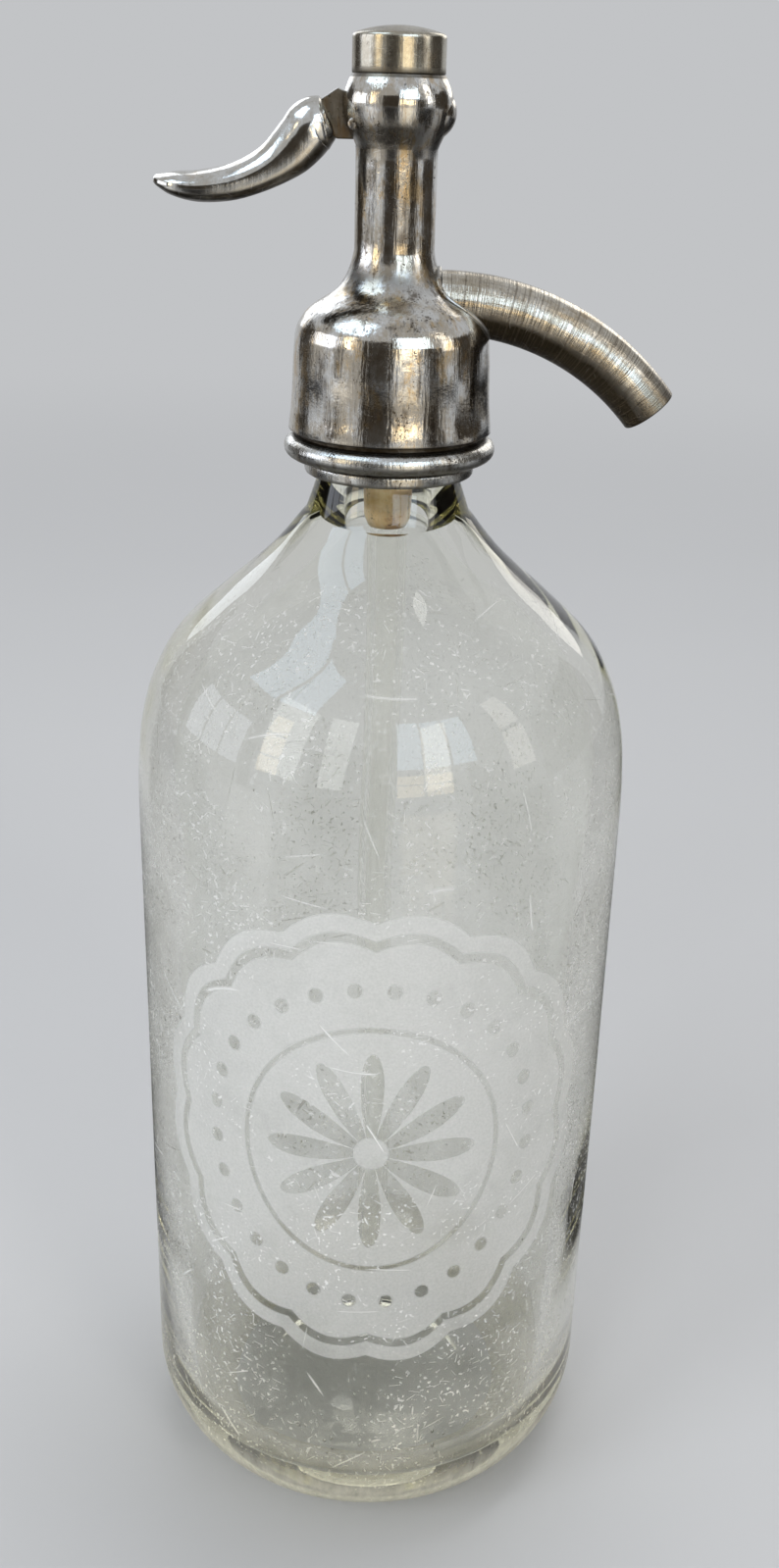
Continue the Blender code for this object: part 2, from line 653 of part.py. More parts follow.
    def cushion(self):
        """Make the lining strip: a thin sleeve with a slit where its ends meet."""
        bottom = COLLAR_TOP - CUSHION_DROP
        top = LIP_UNDERSIDE_HEIGHT - SEAT_GAP
        piece = ring("neck_cushion", COLLAR_BORE_RADIUS, CUSHION_RADIUS, bottom, top, RING_FACETS, self.parts)
        low = (0.0, -CUSHION_SLIT / 2, bottom - OVERRUN)
        high = (CUSHION_RADIUS + OVERRUN, CUSHION_SLIT / 2, top + OVERRUN)
        self.cut(piece, box("cushion_slit", low, high, self.cutters))
        self.finish(piece, "rubber")

    def gasket(self):
        """Make the washer on the mouth of the bottle."""
        bottom = MOUTH_HEIGHT + SEAT_GAP
        inner = BORE_RADIUS + LIP_EDGE_RADIUS / 2
        outer = SKIRT_BORE_RADIUS - 2 * SEAT_GAP
        top = bottom + GASKET_THICKNESS
        piece = ring("mouth_gasket", inner, outer, bottom, top, RING_FACETS, self.parts)
        self.finish(piece, "rubber")

    def head_outline(self):
        """Outer profile of the head casting, from the top of the ball down to the skirt."""
        ball_height = BALL_TOP_HEIGHT - BALL_BOTTOM_HEIGHT
        swell = BALL_RADIUS - COLUMN_RADIUS
        outline = [(0.0, BALL_TOP_HEIGHT)]
        for swell_share, height_share in reversed(BALL_SWELL_SHARES):
            outline.append((COLUMN_RADIUS + swell * swell_share, BALL_BOTTOM_HEIGHT + ball_height * height_share))
        shoulder = COLUMN_FOOT_HEIGHT - BELL_SHOULDER_HEIGHT
        draw = BELL_RADIUS - COLUMN_RADIUS
        for draw_share, height_share in reversed(BELL_SHOULDER_SHARES):
            outline.append((COLUMN_RADIUS + draw * draw_share, BELL_SHOULDER_HEIGHT + shoulder * height_share))
        skirt = BELL_SHOULDER_HEIGHT - SKIRT_BOTTOM_HEIGHT
        flare = SKIRT_RADIUS - BELL_RADIUS
        for flare_share, height_share in reversed(SKIRT_FLARE_SHARES):
            outline.append((BELL_RADIUS + flare * flare_share, SKIRT_BOTTOM_HEIGHT + skirt * height_share))
        return outline

    def head(self):
        """Make the head casting: a turned body, a side lobe, then its bores, slot and sockets."""
        boss_radius = SOCKET_RADIUS + TUBE_BOSS_WALL
        outline = self.head_outline()
        outline += [
            (SKIRT_BORE_RADIUS, SKIRT_BOTTOM_HEIGHT),
            (SKIRT_BORE_RADIUS, BELL_CEILING_HEIGHT),
            (boss_radius, BELL_CEILING_HEIGHT),
            (boss_radius, TUBE_BOSS_BOTTOM),
            (0.0, TUBE_BOSS_BOTTOM),
        ]
        head = turned("head_body", outline, HEAD_FACETS, self.parts, closed=False)
        combine(head, self.lobe(), "UNION")
        self.cut(head, self.bore_cutter())
        slot_low = (-BALL_RADIUS - OVERRUN, -SLOT_WIDTH / 2, SLOT_BOTTOM_HEIGHT)
        slot_high = (0.0, SLOT_WIDTH / 2, SLOT_TOP_HEIGHT)
        self.cut(head, box("lever_slot", slot_low, slot_high, self.cutters))
        pin_hole = rod("pin_hole", PIN_HOLE_RADIUS, 2 * BALL_RADIUS, PIN_FACETS, self.cutters)
        pin_hole.rotation_euler = (math.radians(90.0), 0.0, 0.0)
        pin_hole.location = (LEVER_PIVOT_X, 0.0, LEVER_PIVOT_HEIGHT)
        self.cut(head, pin_hole)
        passage_length = SPOUT_ROOT_X
        passage = rod("spout_passage", SPOUT_PASSAGE_RADIUS, passage_length, SMALL_FACETS, self.cutters)
        passage.rotation_euler = (0.0, math.radians(90.0), 0.0)
        passage.location = (passage_length / 2, 0.0, SPOUT_HEIGHT)
        self.cut(head, passage)
        points, radii = self.spout_path(SPOUT_ROOT_X - SEAT_GAP, SEAT_GAP)
        self.cut(head, tube("spout_socket", points, radii, SPOUT_RESOLUTION, self.cutters))
        self.finish(head, "worn_nickel")

    def lobe(self):
        """Make the rounded boss on the spout side of the ball."""
        mesh = bpy.data.meshes.new("ball_lobe")
        shape = bmesh.new()
        bmesh.ops.create_uvsphere(shape, u_segments=LOBE_FACETS, v_segments=LOBE_RINGS, radius=1.0)
        size = (LOBE_HALF_LENGTH, LOBE_HALF_WIDTH, LOBE_HALF_HEIGHT)
        bmesh.ops.scale(shape, vec=size, verts=shape.verts)
        shape.to_mesh(mesh)
        shape.free()
        lobe = link_mesh("ball_lobe", mesh, self.cutters)
        lobe.location = (LOBE_REACH - LOBE_HALF_LENGTH, 0.0, LOBE_HEIGHT)
        return lobe

    def bore_cutter(self):
        """Turn one cutter for the socket, seat hole, chamber, column bore and cap bore."""
        top = BALL_TOP_HEIGHT + OVERRUN
        bottom = TUBE_BOSS_BOTTOM - OVERRUN
        outline = [
            (0.0, top),
            (CAP_BORE_RADIUS, top),
            (CAP_BORE_RADIUS, CAP_BORE_FLOOR),
            (COLUMN_BORE_RADIUS, CAP_BORE_FLOOR),
            (COLUMN_BORE_RADIUS, CHAMBER_FLOOR_HEIGHT),
            (SEAT_HOLE_RADIUS, CHAMBER_FLOOR_HEIGHT),
            (SEAT_HOLE_RADIUS, SOCKET_ROOF_HEIGHT),
            (SOCKET_RADIUS, SOCKET_ROOF_HEIGHT),
            (SOCKET_RADIUS, bottom),
            (0.0, bottom),
        ]
        return turned("head_bores", outline, RING_FACETS, self.cutters, closed=False)

    def spout_path(self, start_x, swell):
        """Points and radii along the spout, from its root through its bend to its tip."""
        points = [(start_x, 0.0, SPOUT_HEIGHT), (SPOUT_BEND_X, 0.0, SPOUT_HEIGHT)]
        radii = [SPOUT_ROOT_RADIUS + swell, SPOUT_ROOT_RADIUS + swell]
        for step in range(1, SPOUT_STEPS + 1):
            share = step / SPOUT_STEPS
            angle = SPOUT_BEND_ANGLE * share
            x = SPOUT_BEND_X + SPOUT_BEND_RADIUS * math.sin(angle)
            z = SPOUT_HEIGHT - SPOUT_BEND_RADIUS * (1 - math.cos(angle))
            points.append((x, 0.0, z))
            radii.append(SPOUT_ROOT_RADIUS + (SPOUT_TIP_RADIUS - SPOUT_ROOT_RADIUS) * share + swell)
        return points, radii

    def spout(self):
        """Make the spout: a bent tube with an even bore, cut square at its mouth."""
        points, radii = self.spout_path(SPOUT_ROOT_X, 0.0)
        piece = tube("spout", points, radii, SPOUT_RESOLUTION, self.parts)
        out = Vector((math.cos(SPOUT_BEND_ANGLE), 0.0, -math.sin(SPOUT_BEND_ANGLE)))
        inner = [Vector(point) for point in points]
        inner[0] -= Vector((OVERRUN, 0.0, 0.0))
        inner.append(inner[-1] + out * OVERRUN)
        bore = tube("spout_bore", inner, [SPOUT_BORE_RADIUS] * len(inner), SPOUT_BORE_RESOLUTION, self.cutters)
        self.cut(piece, bore)
        self.finish(piece, "worn_nickel")

    def valve_seat(self):
        """Make the bush that the valve disc closes on."""
        flange_bottom = CHAMBER_FLOOR_HEIGHT + SEAT_GAP
        flange_top = flange_bottom + SEAT_FLANGE_THICKNESS
        outline = [
            (SEAT_LAND_RADIUS, SEAT_TOP_HEIGHT),
            (SEAT_LAND_RADIUS, flange_top),
            (SEAT_FLANGE_RADIUS, flange_top),
            (SEAT_FLANGE_RADIUS, flange_bottom),
            (SEAT_SHANK_RADIUS, flange_bottom),
            (SEAT_SHANK_RADIUS, SOCKET_ROOF_HEIGHT + SEAT_GAP),
            (SEAT_BORE_RADIUS, SOCKET_ROOF_HEIGHT + SEAT_GAP),
            (SEAT_BORE_RADIUS, SEAT_TOP_HEIGHT),
        ]
        self.finish(turned("valve_seat", outline, SMALL_FACETS, self.parts), "brass")

    def tube_parts(self):
        """Make the ferrule, the dip tube that it carries and the packing above them."""
        thread_bottom = FERRULE_TOP_HEIGHT - FERRULE_THREAD_LENGTH
        lip_top = FERRULE_BOTTOM_HEIGHT + FERRULE_LIP_HEIGHT
        lip_mid = (FERRULE_BOTTOM_HEIGHT + lip_top) / 2
        outline = [
            (FERRULE_THREAD_RADIUS, FERRULE_TOP_HEIGHT),
            (FERRULE_THREAD_RADIUS, thread_bottom),
            (FERRULE_RADIUS, thread_bottom),
            (FERRULE_RADIUS, lip_top),
            (FERRULE_RADIUS - FERRULE_WALL / 4, lip_mid),
            (FERRULE_RADIUS - FERRULE_WALL * 3 / 4, FERRULE_BOTTOM_HEIGHT),
            (FERRULE_BORE_RADIUS, FERRULE_BOTTOM_HEIGHT),
            (FERRULE_BORE_RADIUS, FERRULE_TOP_HEIGHT),
        ]
        self.finish(turned("tube_ferrule", outline, TUBE_FACETS, self.parts), "aged_brown")
        foot = FLOOR_THICKNESS + PUSH_UP_RISE + DIP_TUBE_FLOOR_GAP
        top = FERRULE_TOP_HEIGHT - SEAT_GAP
        dip = ring("dip_tube", DIP_TUBE_BORE_RADIUS, DIP_TUBE_RADIUS, foot, top, TUBE_FACETS, self.parts)
        reach = DIP_TUBE_RADIUS + OVERRUN
        rise = reach * math.tan(DIP_TUBE_FOOT_SLANT)
        slant = plate("dip_tube_slant", [
            (-reach, foot - OVERRUN),
            (reach, foot - OVERRUN),
            (reach, foot + 2 * rise),
            (-reach, foot),
        ], 2 * reach, self.cutters)
        self.cut(dip, slant)
        self.finish(dip, "tube_glass")
        packing = ring(
            "tube_packing",
            TUBE_PACKING_BORE_RADIUS,
            FERRULE_THREAD_RADIUS,
            TUBE_PACKING_BOTTOM,
            SOCKET_ROOF_HEIGHT - SEAT_GAP,
            SMALL_FACETS,
            self.parts,
        )
        self.finish(packing, "rubber")

    def handle_section(self, centre, up, width, depth, fullness):
        """One section of the handle: round above, and fuller below where fullness is under 1."""
        section = []
        for side in range(HANDLE_SIDES):
            angle = math.tau * side / HANDLE_SIDES
            rise = math.sin(angle)
            if rise < 0:
                rise = -abs(rise) ** fullness
            section.append(centre + Vector((0.0, math.cos(angle) * width, 0.0)) + up * (rise * depth))
        return section

    def handle_spine(self, first, last):
        """Stations on the handle's bent centre line: place, upward direction, half depth, half width."""
        spots = []
        for reach, drop, depth, width in HANDLE_STATION_SHARES[first:last + 1]:
            x = LEVER_PIVOT_X - HANDLE_REACH * reach
            z = LEVER_PIVOT_HEIGHT - HANDLE_DROP * drop
            spots.append((Vector((x, 0.0, z)), HANDLE_DEPTH / 2 * depth, HANDLE_WIDTH / 2 * width))
        spine = []
        for index, (centre, depth, width) in enumerate(spots):
            before = spots[max(index - 1, 0)][0]
            after = spots[min(index + 1, len(spots) - 1)][0]
            along = (after - before).normalized()
            spine.append((centre, Vector((along.z, 0.0, -along.x)), depth, width))
        return spine

    def handle_body(self):
        """Sections of the whole handle."""
        spine = self.handle_spine(0, len(HANDLE_STATION_SHARES) - 1)
        return [
            self.handle_section(centre, up, width, depth, HANDLE_FULLNESS_SHARE)
            for centre, up, depth, width in spine
        ]

    def handle_hollow(self):
        """Sections of the groove along the underside, which fades out at both ends."""
        spine = self.handle_spine(HANDLE_HOLLOW_FIRST, HANDLE_HOLLOW_LAST)
        sections = []
        for index, (centre, up, depth, width) in enumerate(spine):
            fade = math.sin(math.pi * (index + 1) / (len(spine) + 1)) ** HANDLE_HOLLOW_FADE_SHARE
            half_width = width * HANDLE_HOLLOW_WIDTH_SHARE * fade
            half_depth = depth * HANDLE_HOLLOW_DEPTH_SHARE * fade
            sections.append(self.handle_section(centre - up * depth, up, half_width, half_depth, 1.0))
        return sections

    def tang_outline(self):
        """Outline of the tang: from the handle over the hub to the nose and back underneath."""
        x0, z0 = LEVER_PIVOT_X, LEVER_PIVOT_HEIGHT
        tilt = -LEVER_TRAVEL / 2
        outline = [
            (x0 - TANG_ROOT_REACH, z0 - TANG_FOOT_DROP / 2),
            (x0 - TANG_TOP_REACH, z0 - TANG_FOOT_DROP),
        ]
        arm_angle = math.degrees(math.asin(NOSE_ARM_HALF / TANG_HUB_RADIUS))
        hub = arc(x0, z0, TANG_HUB_RADIUS, -90, math.degrees(tilt) - arm_angle, TANG_HUB_STEPS)
        nose = (x0 + NOSE_ARM_LENGTH * math.cos(tilt), z0 + NOSE_ARM_LENGTH * math.sin(tilt))
        spread = 180 - math.degrees(math.asin(NOSE_ARM_HALF / NOSE_RADIUS))
        middle = math.degrees(tilt)
        tip = arc(*nose, NOSE_RADIUS, middle - spread, middle + spread, NOSE_STEPS)
        upper_hub = arc(x0, z0, TANG_HUB_RADIUS, middle + arm_angle, 55, 3)
        outline += hub + tip + upper_hub
        outline.append((x0 - TANG_HUB_RADIUS / 3, z0 + TANG_TOP_RISE - TANG_HUB_RADIUS / 3))
        outline.append((x0 - TANG_TOP_REACH, z0 + TANG_TOP_RISE))
        outline.append((x0 - TANG_ROOT_REACH, z0 + TANG_ROOT_RISE))
        return outline

    def lever(self):
        """Make the lever: lofted horn handle, hollow below, with a flat tang and a round nose."""
        piece = loft("lever", self.handle_body(), self.parts)
        self.cut(piece, loft("lever_hollow", self.handle_hollow(), self.cutters))
        combine(piece, plate("lever_tang", self.tang_outline(), TANG_THICKNESS, self.cutters), "UNION")
        hole = rod("lever_hole", PIN_HOLE_RADIUS, TANG_THICKNESS + OVERRUN, PIN_FACETS, self.cutters)
        hole.rotation_euler = (math.radians(90.0), 0.0, 0.0)
        hole.location = (LEVER_PIVOT_X, 0.0, LEVER_PIVOT_HEIGHT)
        self.cut(piece, hole)
        self.finish(piece, "lever_nickel")
        set_origin(piece, (LEVER_PIVOT_X, 0.0, LEVER_PIVOT_HEIGHT))

    def lever_pin(self):
        """Make the pin that the lever turns on, with slightly domed ends."""
        half = LEVER_PIN_LENGTH / 2
        dome_radius = LEVER_PIN_RADIUS * 2 / 3
        outline = [
            (0.0, half + LEVER_PIN_DOME),
            (dome_radius, half + LEVER_PIN_DOME * 2 / 3),
            (LEVER_PIN_RADIUS, half),
            (LEVER_PIN_RADIUS, -half),
            (dome_radius, -half - LEVER_PIN_DOME * 2 / 3),
            (0.0, -half - LEVER_PIN_DOME),
        ]
        piece = turned("lever_pin", outline, PIN_FACETS, self.parts, closed=False)
        self.finish(piece, "pin_steel")
        piece.data.transform(Matrix.Rotation(math.radians(90.0), 4, "X"))
        piece.location = (LEVER_PIVOT_X, 0.0, LEVER_PIVOT_HEIGHT)

    def spindle(self, carrier):
        """Make the valve spindle with its disc, screw, leather cup and backing washer."""
        foot_top = FOOT_BOTTOM_HEIGHT + FOOT_THICKNESS
        screw_top = WASHER_BOTTOM_HEIGHT - SEAT_GAP + SCREW_LENGTH
        thread_top = PISTON_TOP_HEIGHT + SPINDLE_THREAD_LENGTH
        outline = [
            (0.0, thread_top),
            (SPINDLE_THREAD_RADIUS, thread_top),
            (SPINDLE_THREAD_RADIUS, PISTON_TOP_HEIGHT),
            (PISTON_RADIUS, PISTON_TOP_HEIGHT),
            (PISTON_RADIUS, PISTON_BOTTOM_HEIGHT),
            (SPINDLE_RADIUS, PISTON_BOTTOM_HEIGHT),
            (SPINDLE_RADIUS, foot_top),
            (FOOT_RADIUS, foot_top),
            (FOOT_RADIUS, FOOT_BOTTOM_HEIGHT),
            (SCREW_HOLE_RADIUS, FOOT_BOTTOM_HEIGHT),
            (SCREW_HOLE_RADIUS, screw_top + SEAT_GAP),
            (0.0, screw_top + SEAT_GAP),
        ]
        spindle = turned("valve_spindle", outline, SMALL_FACETS, self.parts, closed=False)
        self.finish(spindle, "brass", carrier)
        washer_top = WASHER_BOTTOM_HEIGHT + WASHER_THICKNESS
        washer = ring(
            "valve_washer",
            SCREW_HOLE_RADIUS,
            WASHER_RADIUS,
            WASHER_BOTTOM_HEIGHT,
            washer_top,
            SMALL_FACETS,
            self.parts,
        )
        self.finish(washer, "rubber", carrier)
        head_top = WASHER_BOTTOM_HEIGHT - SEAT_GAP
        head_bottom = head_top - SCREW_HEAD_HEIGHT
        outline = [
            (0.0, screw_top),
            (SCREW_SHANK_RADIUS, screw_top),
            (SCREW_SHANK_RADIUS, head_top),
            (SCREW_HEAD_RADIUS, head_top),
            (SCREW_HEAD_RADIUS, head_bottom),
            (0.0, head_bottom),
        ]
        screw = turned("washer_screw", outline, SMALL_FACETS, self.parts, closed=False)
        reach = SCREW_HEAD_RADIUS + OVERRUN
        low = (-reach, -SCREW_SLOT_WIDTH / 2, head_bottom - OVERRUN)
        high = (reach, SCREW_SLOT_WIDTH / 2, head_bottom + SCREW_SLOT_DEPTH)
        self.cut(screw, box("screw_slot", low, high, self.cutters))
        self.finish(screw, "brass", carrier)
        cup_top = CUP_BASE_HEIGHT + CUP_BASE_THICKNESS
        skirt_bottom = PISTON_TOP_HEIGHT - PISTON_HEIGHT * CUP_SKIRT_SHARE
        outline = [
            (CUP_RADIUS, cup_top),
            (CUP_RADIUS, skirt_bottom),
            (CUP_RADIUS - CUP_WALL, skirt_bottom),
            (CUP_RADIUS - CUP_WALL, CUP_BASE_HEIGHT),
            (THREAD_HOLE_RADIUS, CUP_BASE_HEIGHT),
            (THREAD_HOLE_RADIUS, cup_top),
        ]
        self.finish(turned("packing_cup", outline, SMALL_FACETS, self.parts), "leather", carrier)
        backing = ring(
            "backing_washer",
            THREAD_HOLE_RADIUS,
            PLUNGER_RADIUS,
            BACKING_WASHER_HEIGHT,
            BACKING_WASHER_HEIGHT + BACKING_WASHER_THICKNESS,
            SMALL_FACETS,
            self.parts,
        )
        self.finish(backing, "brass", carrier)

    def plunger_head(self, carrier):
        """Make the plunger head: it clamps the cup, takes the nose and carries the spring."""
        spigot_top = PLUNGER_TOP_HEIGHT + PLUNGER_SPIGOT_LENGTH
        thread_top = PISTON_TOP_HEIGHT + SPINDLE_THREAD_LENGTH + SEAT_GAP
        outline = [
            (0.0, spigot_top),
            (PLUNGER_SPIGOT_RADIUS - PLUNGER_EDGE, spigot_top),
            (PLUNGER_SPIGOT_RADIUS, spigot_top - PLUNGER_EDGE),
            (PLUNGER_SPIGOT_RADIUS, PLUNGER_TOP_HEIGHT),
            (PLUNGER_RADIUS, PLUNGER_TOP_HEIGHT),
            (PLUNGER_RADIUS, PLUNGER_BOTTOM_HEIGHT),
            (THREAD_HOLE_RADIUS, PLUNGER_BOTTOM_HEIGHT),
            (THREAD_HOLE_RADIUS, thread_top),
            (0.0, thread_top),
        ]
        piece = turned("plunger_head", outline, SMALL_FACETS, self.parts, closed=False)
        reach = PLUNGER_RADIUS + OVERRUN
        low = (-reach, -WINDOW_WIDTH / 2, NOSE_HEIGHT - WINDOW_HALF_HEIGHT)
        high = (reach, WINDOW_WIDTH / 2, NOSE_HEIGHT + WINDOW_HALF_HEIGHT)
        self.cut(piece, box("nose_window", low, high, self.cutters))
        self.finish(piece, "brass", carrier)

    def spring(self):
        """Wind the return spring from a formula, with closed end turns."""
        wire = SPRING_WIRE_RADIUS
        low = SPRING_BOTTOM_HEIGHT + wire
        high = SPRING_TOP_HEIGHT - wire
        rise = high - low
        steps = SPRING_TURNS * SPRING_POINTS
        points = []
        for step in range(steps + 1):
            angle = math.tau * step / SPRING_POINTS
            share = step / steps
            points.append((SPRING_RADIUS * math.cos(angle), SPRING_RADIUS * math.sin(angle), low + rise * share))
        piece = tube("plunger_spring", points, [wire] * len(points), SPRING_RESOLUTION, self.parts)
        self.finish(piece, "spring_steel")

    def cap(self):
        """Turn the top cap with its spigot and spring hollow, and the washer under the spigot."""
        dome_r = CAP_RADIUS - CAP_EDGE
        outline = []
        for step in range(CAP_DOME_STEPS + 1):
            share = step / CAP_DOME_STEPS
            fall = CAP_DOME_RISE * share ** 2 * (1 - CAP_EDGE / CAP_DOME_RISE)
            outline.append((dome_r * share, CAP_TOP_HEIGHT - fall))
        outline += [
            (CAP_RADIUS, CAP_SIDE_TOP),
            (CAP_RADIUS, CAP_SEAM_HEIGHT),
            (CAP_SPIGOT_RADIUS, CAP_SEAM_HEIGHT),
            (CAP_SPIGOT_RADIUS, CAP_SPIGOT_BOTTOM),
            (CAP_CAVITY_RADIUS, CAP_SPIGOT_BOTTOM),
            (CAP_CAVITY_RADIUS, CAP_CAVITY_TOP),
            (0.0, CAP_CAVITY_TOP),
        ]
        self.finish(turned("top_cap", outline, HEAD_FACETS, self.parts, closed=False), "cap_nickel")
        washer = ring(
            "cap_washer",
            CAP_WASHER_BORE_RADIUS,
            CAP_SPIGOT_RADIUS,
            CAP_WASHER_BOTTOM,
            CAP_WASHER_BOTTOM + CAP_WASHER_THICKNESS,
            SMALL_FACETS,
            self.parts,
        )
        self.finish(washer, "fibre")

    def build(self):
        """Build the bottle, the head and the valve."""
        self.bottle()
        self.collar()
        self.cushion()
        self.gasket()
        self.head()
        self.spout()
        self.valve_seat()
        self.tube_parts()
        self.lever()
        self.lever_pin()
        carrier = bpy.data.objects.new("plunger_axis", None)
        self.parts.objects.link(carrier)
        carrier.parent = self.root
        self.spindle(carrier)
        self.plunger_head(carrier)
        self.spring()
        self.cap()


if __name__ == "__main__":
    Siphon().build()
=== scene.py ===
"""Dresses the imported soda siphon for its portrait.

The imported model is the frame. The pieces that show are turned, swept or lofted again here with finer
curves, every piece gets a finish of its own, and a plain studio with a camera is set round them.

All lengths are in metres. +Z is up, the spout points to +X, the lever to -X and the camera stands at -Y.
"""

import logging
import math
from dataclasses import dataclass, field
from enum import Enum
from functools import reduce
from typing import Callable, Optional, Sequence, Union

import bmesh
import bpy
import numpy as np
from mathutils import Matrix, Vector


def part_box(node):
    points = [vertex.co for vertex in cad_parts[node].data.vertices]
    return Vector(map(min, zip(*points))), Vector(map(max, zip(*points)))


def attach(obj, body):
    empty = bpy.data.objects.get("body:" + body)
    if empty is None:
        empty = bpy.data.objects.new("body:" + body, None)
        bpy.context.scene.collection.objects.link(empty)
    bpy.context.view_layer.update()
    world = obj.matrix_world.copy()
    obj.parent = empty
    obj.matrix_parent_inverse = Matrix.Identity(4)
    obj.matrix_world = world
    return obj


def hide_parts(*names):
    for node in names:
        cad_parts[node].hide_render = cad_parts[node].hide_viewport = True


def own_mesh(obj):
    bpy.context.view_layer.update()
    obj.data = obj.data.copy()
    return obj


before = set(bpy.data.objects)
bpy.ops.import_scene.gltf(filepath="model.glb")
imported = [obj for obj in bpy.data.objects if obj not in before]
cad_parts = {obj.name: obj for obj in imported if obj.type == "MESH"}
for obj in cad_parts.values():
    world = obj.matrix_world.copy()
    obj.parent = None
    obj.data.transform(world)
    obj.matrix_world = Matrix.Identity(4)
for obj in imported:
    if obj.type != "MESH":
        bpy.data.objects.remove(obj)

LOG = logging.getLogger("siphon")

Point = tuple[float, float]
Range = tuple[float, float]
Triple = tuple[float, float, float]
Colour = Triple
Piece = bpy.types.Object
Material = bpy.types.Material
Tree = bpy.types.NodeTree
Node = bpy.types.Node
Socket = bpy.types.NodeSocket
Value = Union[float, Socket]
Warp = Callable[[int, float, float], float]


class Body(Enum):
    """The bodies of the frame that pieces ride on."""

    SIPHON = "siphon"
    LEVER = "lever"


class Cut(Enum):
    """What a tool does to the piece that it meets."""

    REMOVE = "DIFFERENCE"
    ADD = "UNION"


class Lay(Enum):
    """Which coordinates a finish follows."""

    ROOM = "room"
    ALONG = "along"


def smooth_shares(shares: Sequence[float], substeps: int) -> list[Point]:
    """Reads a smooth curve through equally spaced shares.

    Args:
        shares: The values at equal steps, the first and the last included.
        substeps: How many points each step is read at.

    Returns:
        Pairs of place and share, the place running from 0 to 1.
    """
    ends = (shares[0], *shares, 2 * shares[-1] - shares[-2])
    curve = []
    for index in range(len(shares) - 1):
        before, first, second, after = ends[index:index + 4]
        for step in range(substeps):
            t = step / substeps
            value = 0.5 * (
                2 * first
                + (second - before) * t
                + (2 * before - 5 * first + 4 * second - after) * t ** 2
                + (3 * first - before - 3 * second + after) * t ** 3
            )
            curve.append(((index + t) / (len(shares) - 1), value))
    curve.append((1.0, shares[-1]))
    return curve


def spline(points: Sequence[Sequence[float]], substeps: int) -> list[tuple[float, ...]]:
    """Runs a smooth curve through a few points of any dimension.

    Args:
        points: The points, in order.
        substeps: How many points each span is read at.

    Returns:
        The points of the curve, the two ends included.
    """
    columns = []
    for values in zip(*points):
        columns.append([share for _, share in smooth_shares(values, substeps)])
    return list(zip(*columns))


def arc(centre: Point, radius: float, start: float, end: float, steps: int) -> list[Point]:
    """Draws a circular arc in the profile plane.

    Args:
        centre: Centre of the arc.
        radius: Its radius.
        start: First angle in degrees, from +R towards +Z.
        end: Last angle in degrees.
        steps: Number of chords.

    Returns:
        The points of the arc.
    """
    points = []
    for step in range(steps + 1):
        angle = math.radians(start + (end - start) * step / steps)
        points.append((centre[0] + radius * math.cos(angle), centre[1] + radius * math.sin(angle)))
    return points


def between(first: Point, last: Point, parts: int) -> list[Point]:
    """Lists the points that split a straight line into equal parts, without its two ends."""
    spots = []
    for step in range(1, parts):
        spots.append(tuple(start + (end - start) * step / parts for start, end in zip(first, last)))
    return spots


def eased(corners: Sequence[tuple[float, ...]], steps: int = 4) -> list[Point]:
    """Rounds the corners of an outline.

    Args:
        corners: Points as (r, z) or (r, z, easing), where easing is how far from the corner it starts.
        steps: Number of chords in each rounded corner.

    Returns:
        The outline with its corners rounded.
    """
    outline: list[Point] = []
    last = len(corners) - 1
    for index, corner in enumerate(corners):
        here = Vector(corner[:2])
        ease = corner[2] if len(corner) > 2 else 0.0
        if ease == 0.0 or index in (0, last):
            outline.append(tuple(here))
            continue
        before = Vector(corners[index - 1][:2]) - here
        after = Vector(corners[index + 1][:2]) - here
        start = here + before.normalized() * min(ease, before.length / 2)
        end = here + after.normalized() * min(ease, after.length / 2)
        for step in range(steps + 1):
            t = step / steps
            outline.append(tuple(start * (1 - t) ** 2 + here * (2 * t * (1 - t)) + end * t ** 2))
    return outline


def skin_faces(rows: int, count: int, closed: bool = False) -> list[tuple[int, ...]]:
    """Lists the faces between rows of points that each run round once.

    Args:
        rows: Number of rows.
        count: Number of points in a row.
        closed: Whether the last row meets the first one.

    Returns:
        The faces, row by row.
    """
    faces = []
    for row in range(rows if closed else rows - 1):
        near, far = row * count, (row + 1) % rows * count
        for index in range(count):
            after = (index + 1) % count
            faces.append((near + index, near + after, far + after, far + index))
    return faces


def end_faces(rows: int, count: int) -> list[tuple[int, ...]]:
    """Lists the two faces that close the first and the last row of points."""
    return [tuple(range(count)), tuple(range((rows - 1) * count, rows * count))]


def link_mesh(
    name: str, vertices: Sequence[Sequence[float]], faces: Sequence[Sequence[int]]
) -> Piece:
    """Makes an object from points and faces, with its faces turned outwards.

    Args:
        name: Name of the object.
        vertices: Its points.
        faces: Its faces, as indices of points.

    Returns:
        The new object.
    """
    mesh = bpy.data.meshes.new(name)
    mesh.from_pydata(vertices, [], faces)
    shape = bmesh.new()
    shape.from_mesh(mesh)
    bmesh.ops.recalc_face_normals(shape, faces=shape.faces)
    shape.to_mesh(mesh)
    shape.free()
    piece = bpy.data.objects.new(name, mesh)
    bpy.context.scene.collection.objects.link(piece)
    return piece


